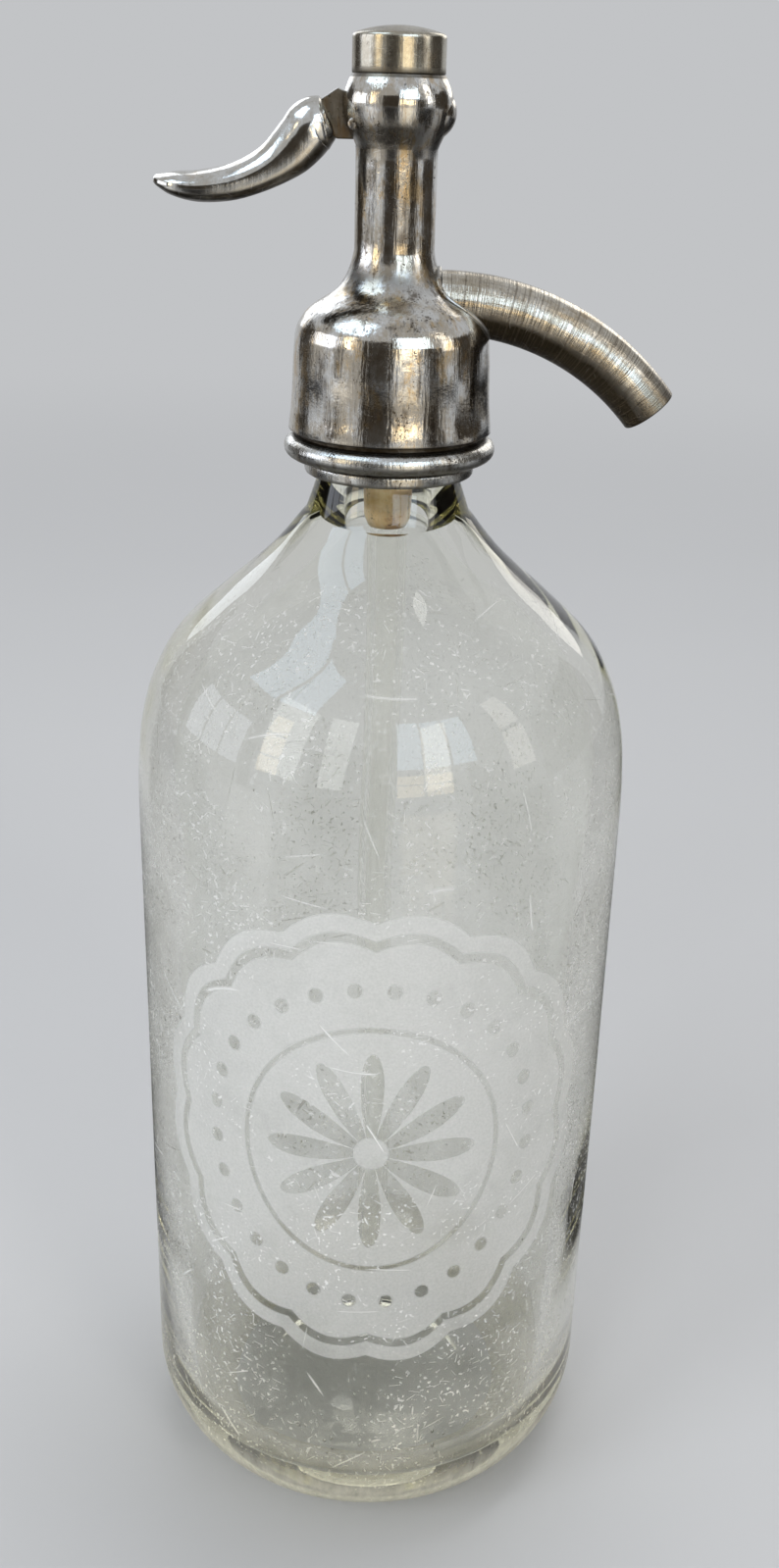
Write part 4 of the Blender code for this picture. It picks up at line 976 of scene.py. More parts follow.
@dataclass(frozen=True)
class GlassSkinFinish:
    """The pale marks that lie on the outside of the glass: frosting, scuffs, haze and the worn heel.

    A height range runs from where a mark is full to where it ends, in metres above the table.
    """

    name: str
    pale: Colour = (0.95, 0.95, 0.935)
    stained: Colour = (0.82, 0.77, 0.58)
    stain_strength: float = 0.8
    long_marks: Scratches = Scratches(95.0, 0.020, 0.32)
    short_marks: Scratches = Scratches(380.0, 0.055, 0.75)
    cloud: Grain = Grain(48.0, 4.0, 0.65)
    cloud_rise: Range = (0.36, 0.66)
    grain: Grain = Grain(1900.0, 2.0, 0.6)
    speck: Grain = Grain(1150.0, 1.0, 0.5)
    speck_rise: Range = (0.615, 0.70)
    belt: Range = (0.120, 0.195)
    low: Range = (0.010, 0.070)
    foot: Range = (0.014, 0.026)
    rub: Grain = Grain(520.0, 4.0, 0.65, (1.0, 1.0, 0.22))
    rub_span: Range = (0.30, 1.15)
    scuffs: float = 0.90
    scuff_cloud_span: Range = (0.15, 1.0)
    scuff_belt_span: Range = (0.45, 1.0)
    haze: float = 0.17
    haze_belt_span: Range = (0.25, 1.0)
    low_haze: float = 0.16
    frosting: float = 0.46
    frosting_span: Range = (0.75, 1.25)
    heel_wear: float = 0.80
    rough_span: Range = (0.55, 0.80)
    relief: float = 0.00003
    relief_strength: float = 0.4

    def material(self, effects: Effects) -> Material:
        """Builds the material."""
        material, g, shader = new_material(self.name)
        place = g.room()
        height = g.parts(place)[2]
        belt, low, foot = [g.rest(g.step(height, *reach)) for reach in (self.belt, self.low, self.foot)]
        cloudy = g.step(g.noise(place, self.cloud), *self.cloud_rise)
        specks = g.step(g.noise(place, self.speck), *self.speck_rise)
        grain = g.noise(place, self.grain)
        worn = g.times(foot, g.span(g.noise(place, self.rub), *self.rub_span), self.heel_wear)
        fine = g.larger(self.short_marks.mask(g, effects, place), specks)
        fine = g.times(fine, g.span(cloudy, *self.scuff_cloud_span))
        marks = g.larger(self.long_marks.mask(g, effects, place), fine)
        marks = g.times(marks, self.scuffs, g.span(belt, *self.scuff_belt_span))
        film = g.times(cloudy, g.span(belt, *self.haze_belt_span), self.haze)
        film = g.plus(film, g.times(low, grain, self.low_haze))
        panel = g.use(effects.panel, Place=place)["Mask"]
        frost = g.times(panel, g.span(grain, *self.frosting_span), self.frosting)
        colour = g.mix(g.times(low, self.stain_strength), rgba(self.pale), rgba(self.stained))
        g.fill(shader, Base_Color=colour, Roughness=g.span(grain, *self.rough_span))
        g.fill(shader, Alpha=g.larger(film, frost, marks, worn))
        g.raise_surface(shader, grain, self.relief, self.relief_strength)
        return material


@dataclass(frozen=True)
class InnerFinish:
    """A finish for the working pieces inside the head."""

    name: str
    light: Colour
    dark: Colour
    metallic: float
    roughness: float
    grain_scale: float
    ring_depth: float
    relief: float
    cloud: Grain = Grain(260.0, 5.0, 0.65)
    ring_scale: float = 3600.0
    shade_weights: Range = (0.6, 0.4)
    shade_rise: Range = (0.35, 0.65)
    grain_roughness: float = 0.25
    relief_strength: float = 0.7

    def material(self, effects: Effects) -> Material:
        """Builds the material."""
        material, g, shader = new_material(self.name)
        place = g.room()
        cloud = g.noise(place, self.cloud)
        grain = g.noise(place, Grain(self.grain_scale, 3.0, 0.6))
        rings = g.use(effects.rings, Place=place, Scale=self.ring_scale)["Height"]
        shade = g.step(g.weighed(*zip((cloud, grain), self.shade_weights)), *self.shade_rise)
        rough = g.plus(g.times(grain, self.grain_roughness), self.roughness)
        colour = g.mix(shade, rgba(self.dark), rgba(self.light))
        g.fill(shader, Base_Color=colour, Roughness=rough, Metallic=self.metallic)
        height = g.plus(g.times(rings, self.ring_depth), grain)
        g.raise_surface(shader, height, self.relief, self.relief_strength)
        return material


@dataclass(frozen=True)
class Wave:
    """One sine of the unevenness of blown glass, with its share in the sum."""

    around: int
    rise: float
    phase: float
    share: float


WAVES = (Wave(3, 38.0, 1.0, 1.0), Wave(5, -67.0, 2.1, 0.7), Wave(2, 113.0, -0.7, 0.5))
WAVES_SUM = sum(wave.share for wave in WAVES)


def glass_wave(angle: float, height: float, phase: float) -> float:
    """Gives the slow unevenness of blown glass, from -1 to 1, at an angle and a height."""
    total = 0.0
    for wave in WAVES:
        total += wave.share * math.sin(wave.around * angle + wave.rise * height + wave.phase * phase)
    return total / WAVES_SUM


@dataclass
class Bottle:
    """The glass bottle with its seed bubbles, the dip tube and the ferrule that carries it."""

    effects: Effects
    radius: float = 0.0498
    heel_radius: float = 0.0218
    push_up_radius: float = 0.0235
    push_up_rise: float = 0.0026
    mouth_height: float = 0.2470
    lip_depth: float = 0.0083
    lip_radius: float = 0.0159
    lip_edge: float = 0.0012
    groove_length: float = 0.0101
    groove_radius: float = 0.0132
    groove_easing: Range = (0.0006, 0.0030)
    neck_flare: float = 0.0074
    neck_foot_radius: float = 0.0157
    shoulder_length: float = 0.0594
    shoulder_shares: tuple[float, ...] = (0.0, 0.0077, 0.0359, 0.1075, 0.2510, 0.5105, 0.7918, 1.0)
    wall: float = 0.0070
    bore_radius: float = 0.0092
    floor_thickness: float = 0.0115
    inner_heel_radius: float = 0.0150
    inner_shoulder_drop: float = 0.0023
    inner_neck_drop: float = 0.0042
    tube_radius: float = 0.0037
    tube_bore: float = 0.0021
    tube_slant: float = math.radians(25.0)
    thread_length: float = 0.0080
    ferrule_wall: float = 0.0008
    ferrule_lip: float = 0.0018
    seat_gap: float = 0.0003
    segments: int = 160
    bubbles: int = 64
    heel_bubbles: int = 14
    seed_heights: Range = (0.03, 0.155)
    seed_offset: float = 0.22
    seed_sizes: Range = (0.00012, 0.00028)
    seed_flatness: float = 0.7
    seed_lengths: Range = (1.0, 2.2)
    heel_bearings: Range = (252.0, 292.0)
    heel_heights: Range = (0.0225, 0.0310)
    heel_sizes: Range = (0.00022, 0.00042)
    outer_wave: float = 0.00010
    outer_phase: float = 4.1
    inner_wave: float = 0.00045
    inner_phase: float = 1.3
    neck_fade: float = 0.03
    heel_fade: float = 0.02
    skin_lift: float = 0.00003
    skin_foot: float = 0.0004
    floor_shares: tuple[Point, ...] = ((0.0, 1.0), (1 / 3, 0.85), (2 / 3, 0.4))
    push_up_shares: tuple[Point, ...] = (
        (1.0, 0.0), (0.97, 0.10), (0.75, 0.52), (0.5, 0.78), (0.25, 0.94), (0.0, 1.0),
    )

    @property
    def neck_top(self) -> float:
        """Gives the height of the top of the neck that shows."""
        return self.mouth_height - self.lip_depth - self.groove_length

    def outline(self) -> tuple[list[Point], int]:
        """Draws the profile from the inner floor over the mouth to the push-up.

        Returns:
            The profile, and the number of its points that lie on the inner surface.
        """
        underside = self.mouth_height - self.lip_depth
        foot = self.neck_top - self.neck_flare
        shoulder = foot - self.shoulder_length
        curve = smooth_shares(self.shoulder_shares, 8)
        inner_radius = self.radius - self.wall
        inner_start = shoulder - self.inner_shoulder_drop
        inner_rise = foot - self.inner_neck_drop - inner_start
        floor = self.floor_thickness
        heel = (inner_radius - self.inner_heel_radius, floor + self.inner_heel_radius)
        inner = [(heel[0] * share, floor + self.push_up_rise * rise) for share, rise in self.floor_shares]
        inner += arc(heel, self.inner_heel_radius, -90, 0, 16)
        inner += between(inner[-1], (inner_radius, inner_start), 12)
        draw = inner_radius - self.bore_radius
        inner += [(inner_radius - draw * share, inner_start + inner_rise * place) for place, share in curve]
        edge = self.mouth_height - self.lip_edge
        lip = self.lip_radius - self.lip_edge
        outer = arc((self.bore_radius + self.lip_edge, edge), self.lip_edge, 180, 90, 5)
        outer += arc((lip, edge), self.lip_edge, 90, 0, 5)
        outer += arc((lip, underside + self.lip_edge), self.lip_edge, 0, -90, 5)
        neck = [
            (lip, underside),
            (self.groove_radius, underside, self.groove_easing[0]),
            (self.groove_radius, self.neck_top, self.groove_easing[1]),
            (self.neck_foot_radius, foot),
        ]
        outer += eased(neck, 6)[1:-1]
        draw = self.radius - self.neck_foot_radius
        rise = foot - shoulder
        outer += [(self.radius - draw * share, shoulder + rise * place) for place, share in reversed(curve)]
        outer += between((self.radius, shoulder), (self.radius, self.heel_radius), 14)
        outer += arc((self.radius - self.heel_radius, self.heel_radius), self.heel_radius, 0, -90, 22)
        rim = self.push_up_radius
        outer += [(rim * share, self.push_up_rise * rise) for share, rise in self.push_up_shares]
        return inner + outer, len(inner)

    def build(self) -> None:
        """Builds and dresses every piece of the bottle."""
        self.glass()
        self.dip_tube()
        self.ferrule()

    def fade(self, height: float) -> float:
        """Gives the share of the waves at a height, which end at the neck and at the foot."""
        upper = min(1.0, max(0.0, (self.neck_top - height) / self.neck_fade))
        return upper * min(1.0, height / self.heel_fade)

    def inner_shift(self, angle: float, height: float) -> float:
        """Gives the wave of the inside at a place."""
        return glass_wave(angle, height, self.inner_phase) * self.inner_wave * self.fade(height)

    def outer_shift(self, angle: float, height: float) -> float:
        """Gives the wave of the outside at a place, which only goes inwards."""
        return (glass_wave(angle, height, self.outer_phase) - 1.0) / 2 * self.outer_wave * self.fade(height)

    def glass(self) -> None:
        """Turns the bottle with the slight waves of blown glass and scatters seeds in its wall."""
        outline, inner_count = self.outline()

        def warp(index: int, angle: float, height: float) -> float:
            """Gives the change of radius at one point."""
            if index < inner_count:
                return self.inner_shift(angle, height)
            return self.outer_shift(angle, height) - self.skin_lift

        piece = turned("siphon_bottle", outline, self.segments, warp=warp)
        self.add_seeds(piece)
        smooth_faces(piece)
        finish = GlassFinish("bottle glass", panel=True)
        seat(piece, finish.material(self.effects), "bottle_glass", Body.SIPHON, "glass_bottle")
        self.skin(outline[inner_count:])

    def skin(self, outer: Sequence[Point]) -> None:
        """Lays a thin skin just off the glass that carries its pale marks, within the bottle's size.

        Args:
            outer: Profile of the outside, from the mouth down to the push-up.
        """
        wall = [
            (radius, height)
            for radius, height in outer
            if self.skin_foot < height < self.neck_top and radius > self.push_up_radius
        ]

        def lifted(_: int, angle: float, height: float) -> float:
            """Gives the change of radius at one point."""
            return self.outer_shift(angle, height)

        piece = turned("siphon_glass_marks", wall, self.segments, warp=lifted)
        smooth_faces(piece)
        seat(piece, GlassSkinFinish("glass marks").material(self.effects), "bottle_glass", Body.SIPHON)

    def add_seeds(self, piece: Piece) -> None:
        """Adds small air bubbles inside the wall of the bottle, their surfaces facing inwards."""
        dice = np.random.default_rng(26)
        shape = bmesh.new()
        shape.from_mesh(piece.data)
        middle = self.radius - self.wall / 2
        for count in range(self.bubbles + self.heel_bubbles):
            angle, height = dice.uniform(0, math.tau), dice.uniform(*self.seed_heights)
            radius = middle + dice.uniform(-self.seed_offset, self.seed_offset) * self.wall
            size = dice.uniform(*self.seed_sizes)
            if count >= self.bubbles:
                angle = math.radians(dice.uniform(*self.heel_bearings))
                height = dice.uniform(*self.heel_heights)
                size = dice.uniform(*self.heel_sizes)
            place = Matrix.Translation((radius * math.cos(angle), radius * math.sin(angle), height))
            stretch = Matrix.Diagonal((self.seed_flatness, 1.0, dice.uniform(*self.seed_lengths), 1.0))
            form = Matrix.Rotation(angle, 4, "Z") @ stretch
            ball = bmesh.ops.create_icosphere(shape, subdivisions=2, radius=size, matrix=place @ form)
            faces = {face for vertex in ball["verts"] for face in vertex.link_faces}
            bmesh.ops.reverse_faces(shape, faces=list(faces))
        shape.to_mesh(piece.data)
        shape.free()

    def dip_tube(self) -> None:
        """Turns the dip tube with its slanted foot."""
        low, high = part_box("dip_tube")
        foot, top = low.z, high.z
        rows = 40
        outer = [(self.tube_radius, top + (foot - top) * step / rows) for step in range(rows + 1)]
        inner = [(self.tube_bore, foot + (top - foot) * step / rows) for step in range(rows + 1)]
        piece = turned("siphon_dip_tube", outer + inner, 64, closed=True)
        slant = math.tan(self.tube_slant)
        for vertex in piece.data.vertices:
            if vertex.co.z < foot + 1e-6:
                vertex.co.z += (vertex.co.x + self.tube_radius) * slant
        smooth_faces(piece)
        finish = GlassFinish(
            "tube glass", clear=(0.98, 0.98, 0.965), depth_tint=(0.84, 0.83, 0.66), density=10.0, haze=0.02
        )
        seat(piece, finish.material(self.effects), "tube_glass", Body.SIPHON, "dip_tube")

    def ferrule(self) -> None:
        """Turns the brown ferrule in the neck, with its threaded top and tapered lip."""
        low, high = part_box("tube_ferrule")
        thread_radius = high.x
        bore = self.tube_radius + self.seat_gap
        radius = bore + self.ferrule_wall
        thread_foot = high.z - self.thread_length
        outline = [
            (thread_radius, high.z),
            (thread_radius, thread_foot, 0.0003),
            (radius, thread_foot, 0.0003),
            (radius, low.z + self.ferrule_lip * 1.2, 0.0006),
            (radius - self.ferrule_wall * 0.8, low.z, 0.0002),
            (bore, low.z),
            (bore, high.z),
        ]
        piece = turned("siphon_ferrule", eased(outline), 72, closed=True)
        smooth_faces(piece)
        # Faces that look down get painted shade, and the foot of the lip is darkened.
        mark_relief(piece, 0.30, 0.3, lambda at: 0.5 if at.z < low.z + 0.0009 else 0.0)
        finish = NickelFinish(
            "brown ferrule", plate=(0.74, 0.50, 0.22), cool=(0.90, 0.74, 0.46), warm=(0.52, 0.28, 0.09),
            tarnish=(0.30, 0.17, 0.08), bare=0.9, stain=0.5, roughness=0.24,
        )
        seat(piece, finish.material(self.effects), "aged_brown", Body.SIPHON, "tube_ferrule")


@dataclass
class Collar:
    """The split collar under the head, a bead over a smaller lip."""

    effects: Effects
    lip_underside: float = 0.2387
    depth: float = 0.0105
    lip_height: float = 0.0023
    lip_radius: float = 0.0161
    waist_radius: float = 0.0153
    waist_height: float = 0.0007
    bead_radius: float = 0.0200
    bead_height: float = 0.0039
    thread_radius: float = 0.0169
    groove_radius: float = 0.0132
    cushion: float = 0.0011
    cushion_drop: float = 0.0064
    seat_gap: float = 0.0003
    split: float = 0.0004

    def outline(self) -> list[Point]:
        """Draws the closed section of the collar."""
        bottom = self.lip_underside - self.depth
        waist = bottom + self.lip_height
        bead_bottom = waist + self.waist_height
        bead_top = bead_bottom + self.bead_height
        half = self.bead_height / 2
        top = self.lip_underside - self.seat_gap
        bore = self.groove_radius + self.seat_gap
        recess = bore + self.cushion + self.seat_gap
        recess_foot = top - self.cushion_drop - self.seat_gap
        bead = arc((self.bead_radius - half, bead_bottom + half), half, 90, -90, 14)
        lip = [
            (self.bead_radius - half, bead_bottom),
            (self.waist_radius, bead_bottom, 0.0004),
            (self.waist_radius, waist, 0.0004),
            (self.lip_radius, waist, 0.0006),
            (self.lip_radius, bottom, 0.0008),
            (bore + self.seat_gap, bottom, 0.0003),
            (bore, bottom + self.seat_gap, 0.0001),
            (bore, recess_foot),
            (recess, recess_foot),
            (recess, top),
        ]
        head = [
            (self.thread_radius, top),
            (self.thread_radius, bead_top, 0.0003),
            (self.bead_radius - half, bead_top),
        ]
        return eased(head)[:-1] + bead + eased(lip)[1:]

    def build(self) -> None:
        """Turns the two halves and dresses them."""
        bead_top = self.lip_underside - self.depth + self.lip_height + self.waist_height + self.bead_height
        thread = self.thread_radius + 0.0006

        def dirt_and_shade(at: Vector) -> float:
            """Darkens the thread above the bead and the waist below it."""
            radius = math.hypot(at.x, at.y)
            if at.z > bead_top - 0.0002 and radius < thread + 0.0006:
                return 1.0
            return 0.75 if radius < self.waist_radius + 0.0004 else 0.0

        finish = NickelFinish(
            "collar nickel", plate=(0.45, 0.43, 0.385), cool=(0.74, 0.75, 0.74), warm=(0.38, 0.29, 0.16),
            bare=0.6, pits=1.0, stain=0.9, roughness=0.15, relief=0.00015, rings=0.4,
        ).material(self.effects)
        for side, name in ((-1, "front"), (1, "back")):
            piece = half_turned("siphon_collar_" + name, self.outline(), 96, side, self.split)
            smooth_faces(piece)
            # Faces of the collar that look down get painted shade.
            mark_relief(piece, 0.30, 0.7, dirt_and_shade)
            seat(piece, finish, "collar_nickel", Body.SIPHON, "neck_collar_" + name)


@dataclass
class Head:
    """The head casting with its bell, column, ball and side lobe, and the cap, pin and solder on it."""

    effects: Effects
    skirt_foot: float = 0.2362
    skirt_radius: float = 0.0191
    skirt_bore: float = 0.0172
    bell_radius: float = 0.0180
    bell_ceiling: float = 0.2490
    bell_shoulder: float = 0.2535
    column_foot: float = 0.2685
    column_radius: float = 0.0073
    ball_foot: float = 0.2855
    ball_top: float = 0.2975
    ball_radius: float = 0.0098
    column_bore: float = 0.0050
    cap_bore: float = 0.0067
    cap_bore_depth: float = 0.0045
    cap_dome: float = 0.0017
    cap_rim: float = 0.0004
    cap_play: float = 0.0003
    cap_wall: float = 0.0018
    cap_roof: float = 0.0022
    chamber_floor: float = 0.2517
    slot_width: float = 0.0036
    slot_low: float = 0.2858
    slot_high: float = 0.2960
    lobe_reach: float = 0.0104
    lobe_half: tuple[float, float, float] = (0.0068, 0.0066, 0.0054)
    lobe_height: float = 0.2916
    pivot: tuple[float, float] = (-0.0076, 0.2895)
    pin_radius: float = 0.0010
    spout_height: float = 0.2596
    spout_radius: float = 0.0057
    solder: float = 0.0009
    overrun: float = 0.002
    bore_play: float = 0.00001
    segments: int = 144
    flare_shares: tuple[Point, ...] = (
        (1.0, 0.0), (0.92, 0.09), (0.62, 0.26), (0.42, 0.46), (0.34, 0.66), (0.18, 0.84), (0.0, 1.0),
    )
    shoulder_shares: tuple[Point, ...] = (
        (1.0, 0.0), (0.963, 0.100), (0.916, 0.167), (0.846, 0.240), (0.748, 0.313), (0.626, 0.377),
        (0.495, 0.433), (0.374, 0.490), (0.276, 0.550), (0.192, 0.627), (0.112, 0.727), (0.047, 0.853),
        (0.0, 1.0),
    )
    ball_shares: tuple[Point, ...] = (
        (0.0, 0.0), (0.16, 0.083), (0.43, 0.200), (0.714, 0.325), (0.91, 0.458), (1.0, 0.592), (0.946, 0.725),
        (0.75, 0.842), (0.54, 0.933), (0.38, 1.0),
    )

    def skin(self) -> list[Point]:
        """Draws the outer profile from the foot of the skirt up to the top of the ball."""
        column = self.column_radius
        spans = (
            (self.flare_shares, 4, self.bell_radius, self.skirt_radius, self.skirt_foot, self.bell_shoulder),
            (self.shoulder_shares, 5, column, self.bell_radius, self.bell_shoulder, self.column_foot),
            (self.ball_shares, 5, column, self.ball_radius, self.ball_foot, self.ball_top),
        )
        flare, shoulder, ball = [
            [
                (least + (most - least) * share, low + (high - low) * place)
                for share, place in spline(shares, steps)
            ]
            for shares, steps, least, most, low, high in spans
        ]
        shaft = between((column, self.column_foot), (column, self.ball_foot), 8)
        return flare[:-1] + shoulder + shaft + ball

    def radius_at(self, height: float) -> float:
        """Reads the outer radius of the bell and column at a height."""
        outline = self.skin()
        return float(np.interp(height, [z for _, z in outline], [r for r, _ in outline]))

    def build(self) -> None:
        """Builds and dresses every piece of the head."""
        self.casting()
        self.solder_bead()
        self.cap()
        self.pin()

    def casting(self) -> None:
        """Turns the casting as a hollow body, joins the lobe and cuts the slot."""
        skin = self.skin()
        rim = 0.0002
        start = [(self.skirt_bore, self.skirt_foot + rim), (self.skirt_bore + rim, self.skirt_foot)]
        start.append((self.skirt_radius - 2 * rim, self.skirt_foot))
        start.append((self.skirt_radius - rim / 2, self.skirt_foot + rim))
        floor = self.ball_top - self.cap_bore_depth
        inside = [
            (self.cap_bore, self.ball_top), (self.cap_bore, floor), (self.column_bore, floor),
            (self.column_bore, self.chamber_floor), (0.0, self.chamber_floor),
        ]
        ceiling = [(0.0, self.bell_ceiling), (self.skirt_bore, self.bell_ceiling)]
        outline = [*ceiling, *start, *skin[1:], *inside]
        piece = turned("siphon_head", outline, self.segments)
        shaped(piece, self.lobe(), Cut.ADD)
        shaped(piece, self.bore_plug(floor), Cut.REMOVE)
        half = self.slot_width / 2
        reach = self.ball_radius + self.overrun
        low, high = self.slot_low, self.slot_high
        corners = [(-reach, low), (-half, low), (-half, high), (-reach, high)]
        shaped(piece, plate("slot", corners, self.slot_width, 0.0), Cut.REMOVE)
        smooth_faces(piece, 42.0)
        seam = self.ball_top - 0.0005

        def dirt_and_shade(at: Vector) -> float:
            """Darkens the cap seam, the foot of the ball, the foot of the column and the rim of the skirt."""
            if at.z > seam or at.z < self.skirt_foot + 0.0004:
                return 0.8
            under_ball = max(0.0, 0.6 * (1.0 - abs(at.z - self.ball_foot - 0.0004) / 0.0016))
            round_foot = max(0.0, 0.6 * (1.0 - abs(at.z - self.column_foot + 0.0042) / 0.0030))
            return max(under_ball, round_foot)

        # Faces of the casting that look down get painted shade.
        mark_relief(piece, 0.32, 0.62, dirt_and_shade)
        finish = NickelFinish("head nickel", bare=0.62, cloud=0.85, stain=0.85, pits=0.9)
        seat(piece, finish.material(self.effects), "head_nickel", Body.SIPHON, "head_body")

    def lobe(self) -> Piece:
        """Makes the rounded boss on the spout side of the ball."""
        rows = 28
        turns = [math.pi * (step / rows - 0.5) for step in range(rows + 1)]
        outline = [(math.cos(turn), math.sin(turn)) for turn in turns]
        outline[0], outline[-1] = (0.0, -1.0), (0.0, 1.0)
        tool = turned("lobe", outline, 56)
        size = self.lobe_half
        centre = Matrix.Translation((self.lobe_reach - size[0], 0.0, self.lobe_height))
        tool.data.transform(centre @ Matrix.Diagonal((*size, 1.0)))
        return tool

    def bore_plug(self, floor: float) -> Piece:
        """Makes the tool that keeps the bores open where the lobe fills them."""
        top = self.ball_top + self.overrun
        step = floor + self.bore_play
        bore = self.column_bore - self.bore_play
        outline = [
            (0.0, top), (self.cap_bore, top), (self.cap_bore, step), (bore, step),
            (bore, self.ball_foot), (0.0, self.ball_foot),
        ]
        return turned("bores", outline, self.segments)

    def solder_bead(self) -> None:
        """Runs a small fillet of solder round the root of the spout."""
        count, sides = 96, 12
        lift = Vector((1.0, 0.0, 0.0))
        vertices = []
        for step in range(count):
            angle = math.tau * step / count
            y = self.spout_radius * math.cos(angle)
            z = self.spout_height + self.spout_radius * math.sin(angle)
            place = Vector((math.sqrt(max(self.radius_at(z) ** 2 - y ** 2, 0.0)), y, z))
            away = Vector((0.0, math.cos(angle), math.sin(angle)))
            for side in range(sides):
                turn = math.tau * side / sides
                size = 0.8 * self.solder * (0.75 + 0.25 * math.cos(turn - 0.8))
                vertices.append(place + away * (math.cos(turn) * size) + lift * (math.sin(turn) * size))
        piece = link_mesh("siphon_spout_solder", vertices, skin_faces(count, sides, closed=True))
        smooth_faces(piece)
        # Faces of the solder that look down get painted shade, over an even darkening.
        mark_relief(piece, 0.6, 0.6, lambda at: 0.30)
        finish = NickelFinish("solder nickel", plate=(0.46, 0.44, 0.40), bare=0.5, pits=1.0, roughness=0.16)
        seat(piece, finish.material(self.effects), "head_nickel", Body.SIPHON)

    def cap(self) -> None:
        """Turns the cap with its domed top, eased edges and threaded spigot."""
        low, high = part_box("top_cap")
        radius = high.x
        seam = self.ball_top + 0.00006
        dome, rim = self.cap_dome, self.cap_rim
        side_top = high.z - dome
        spigot = self.cap_bore - self.cap_play
        cavity = spigot - self.cap_wall
        roof = side_top - self.cap_roof
        crown = [(0.0, high.z)]
        for step in range(1, 12):
            share = step / 12
            crown.append(((radius - rim) * share, high.z - (dome - rim) * share ** 2))
        edge = [
            crown[-1],
            (radius - rim, side_top + rim, 0.0002),
            (radius, side_top, 0.0005),
            (radius, seam, 0.0003),
            (spigot, seam),
            (spigot, low.z),
            (cavity, low.z),
            (cavity, roof),
            (0.0, roof),
        ]
        wall = eased(edge, 5)
        outline = crown[:-1]
        for index, point in enumerate(wall):
            outline.append(point)
            after = wall[index + 1] if index + 1 < len(wall) else point
            if abs(after[0] - point[0]) < 1e-6 and point[0] > radius - 1e-6 and point[1] - after[1] > 0.002:
                outline += between((radius, point[1]), (radius, after[1]), 6)
        piece = turned("siphon_cap", outline, self.segments)
        smooth_faces(piece)
        # Faces of the cap that look down get painted shade, and the foot next to the seam is darkened.
        mark_relief(piece, 0.30, 0.5, lambda at: 0.75 if at.z < seam + 0.00045 else 0.0)
        finish = NickelFinish(
            "cap nickel", plate=(0.40, 0.36, 0.285), cool=(0.68, 0.66, 0.58), warm=(0.40, 0.28, 0.13),
            cloud=0.55, bare=0.30, stain=0.55, pits=0.30, roughness=0.13, relief=0.00004,
        )
        seat(piece, finish.material(self.effects), "cap_nickel", Body.SIPHON, "top_cap")

    def pin(self) -> None:
        """Turns the pin of the lever, with domed ends."""
        low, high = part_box("lever_pin")
        half = (high.y - low.y) / 2
        dome = 0.0003
        turns = (0.0, 0.4, 0.8, 1.2)
        side = [(self.pin_radius * math.cos(turn), half - dome + dome * math.sin(turn)) for turn in turns]
        outline = [(0.0, half), *reversed(side)]
        outline += [(radius, -height) for radius, height in reversed(outline)]
        piece = turned("siphon_pin", outline, 40)
        piece.data.transform(Matrix.Rotation(math.radians(90.0), 4, "X"))
        piece.data.transform(Matrix.Translation((self.pivot[0], 0.0, self.pivot[1])))
        smooth_faces(piece)
        mark_relief(piece, 0.3)
        finish = NickelFinish(
            "pin steel", plate=(0.34, 0.33, 0.31), cool=(0.55, 0.54, 0.52), roughness=0.2, pits=1.0
        )
        seat(piece, finish.material(self.effects), "pin_steel", Body.SIPHON, "lever_pin")


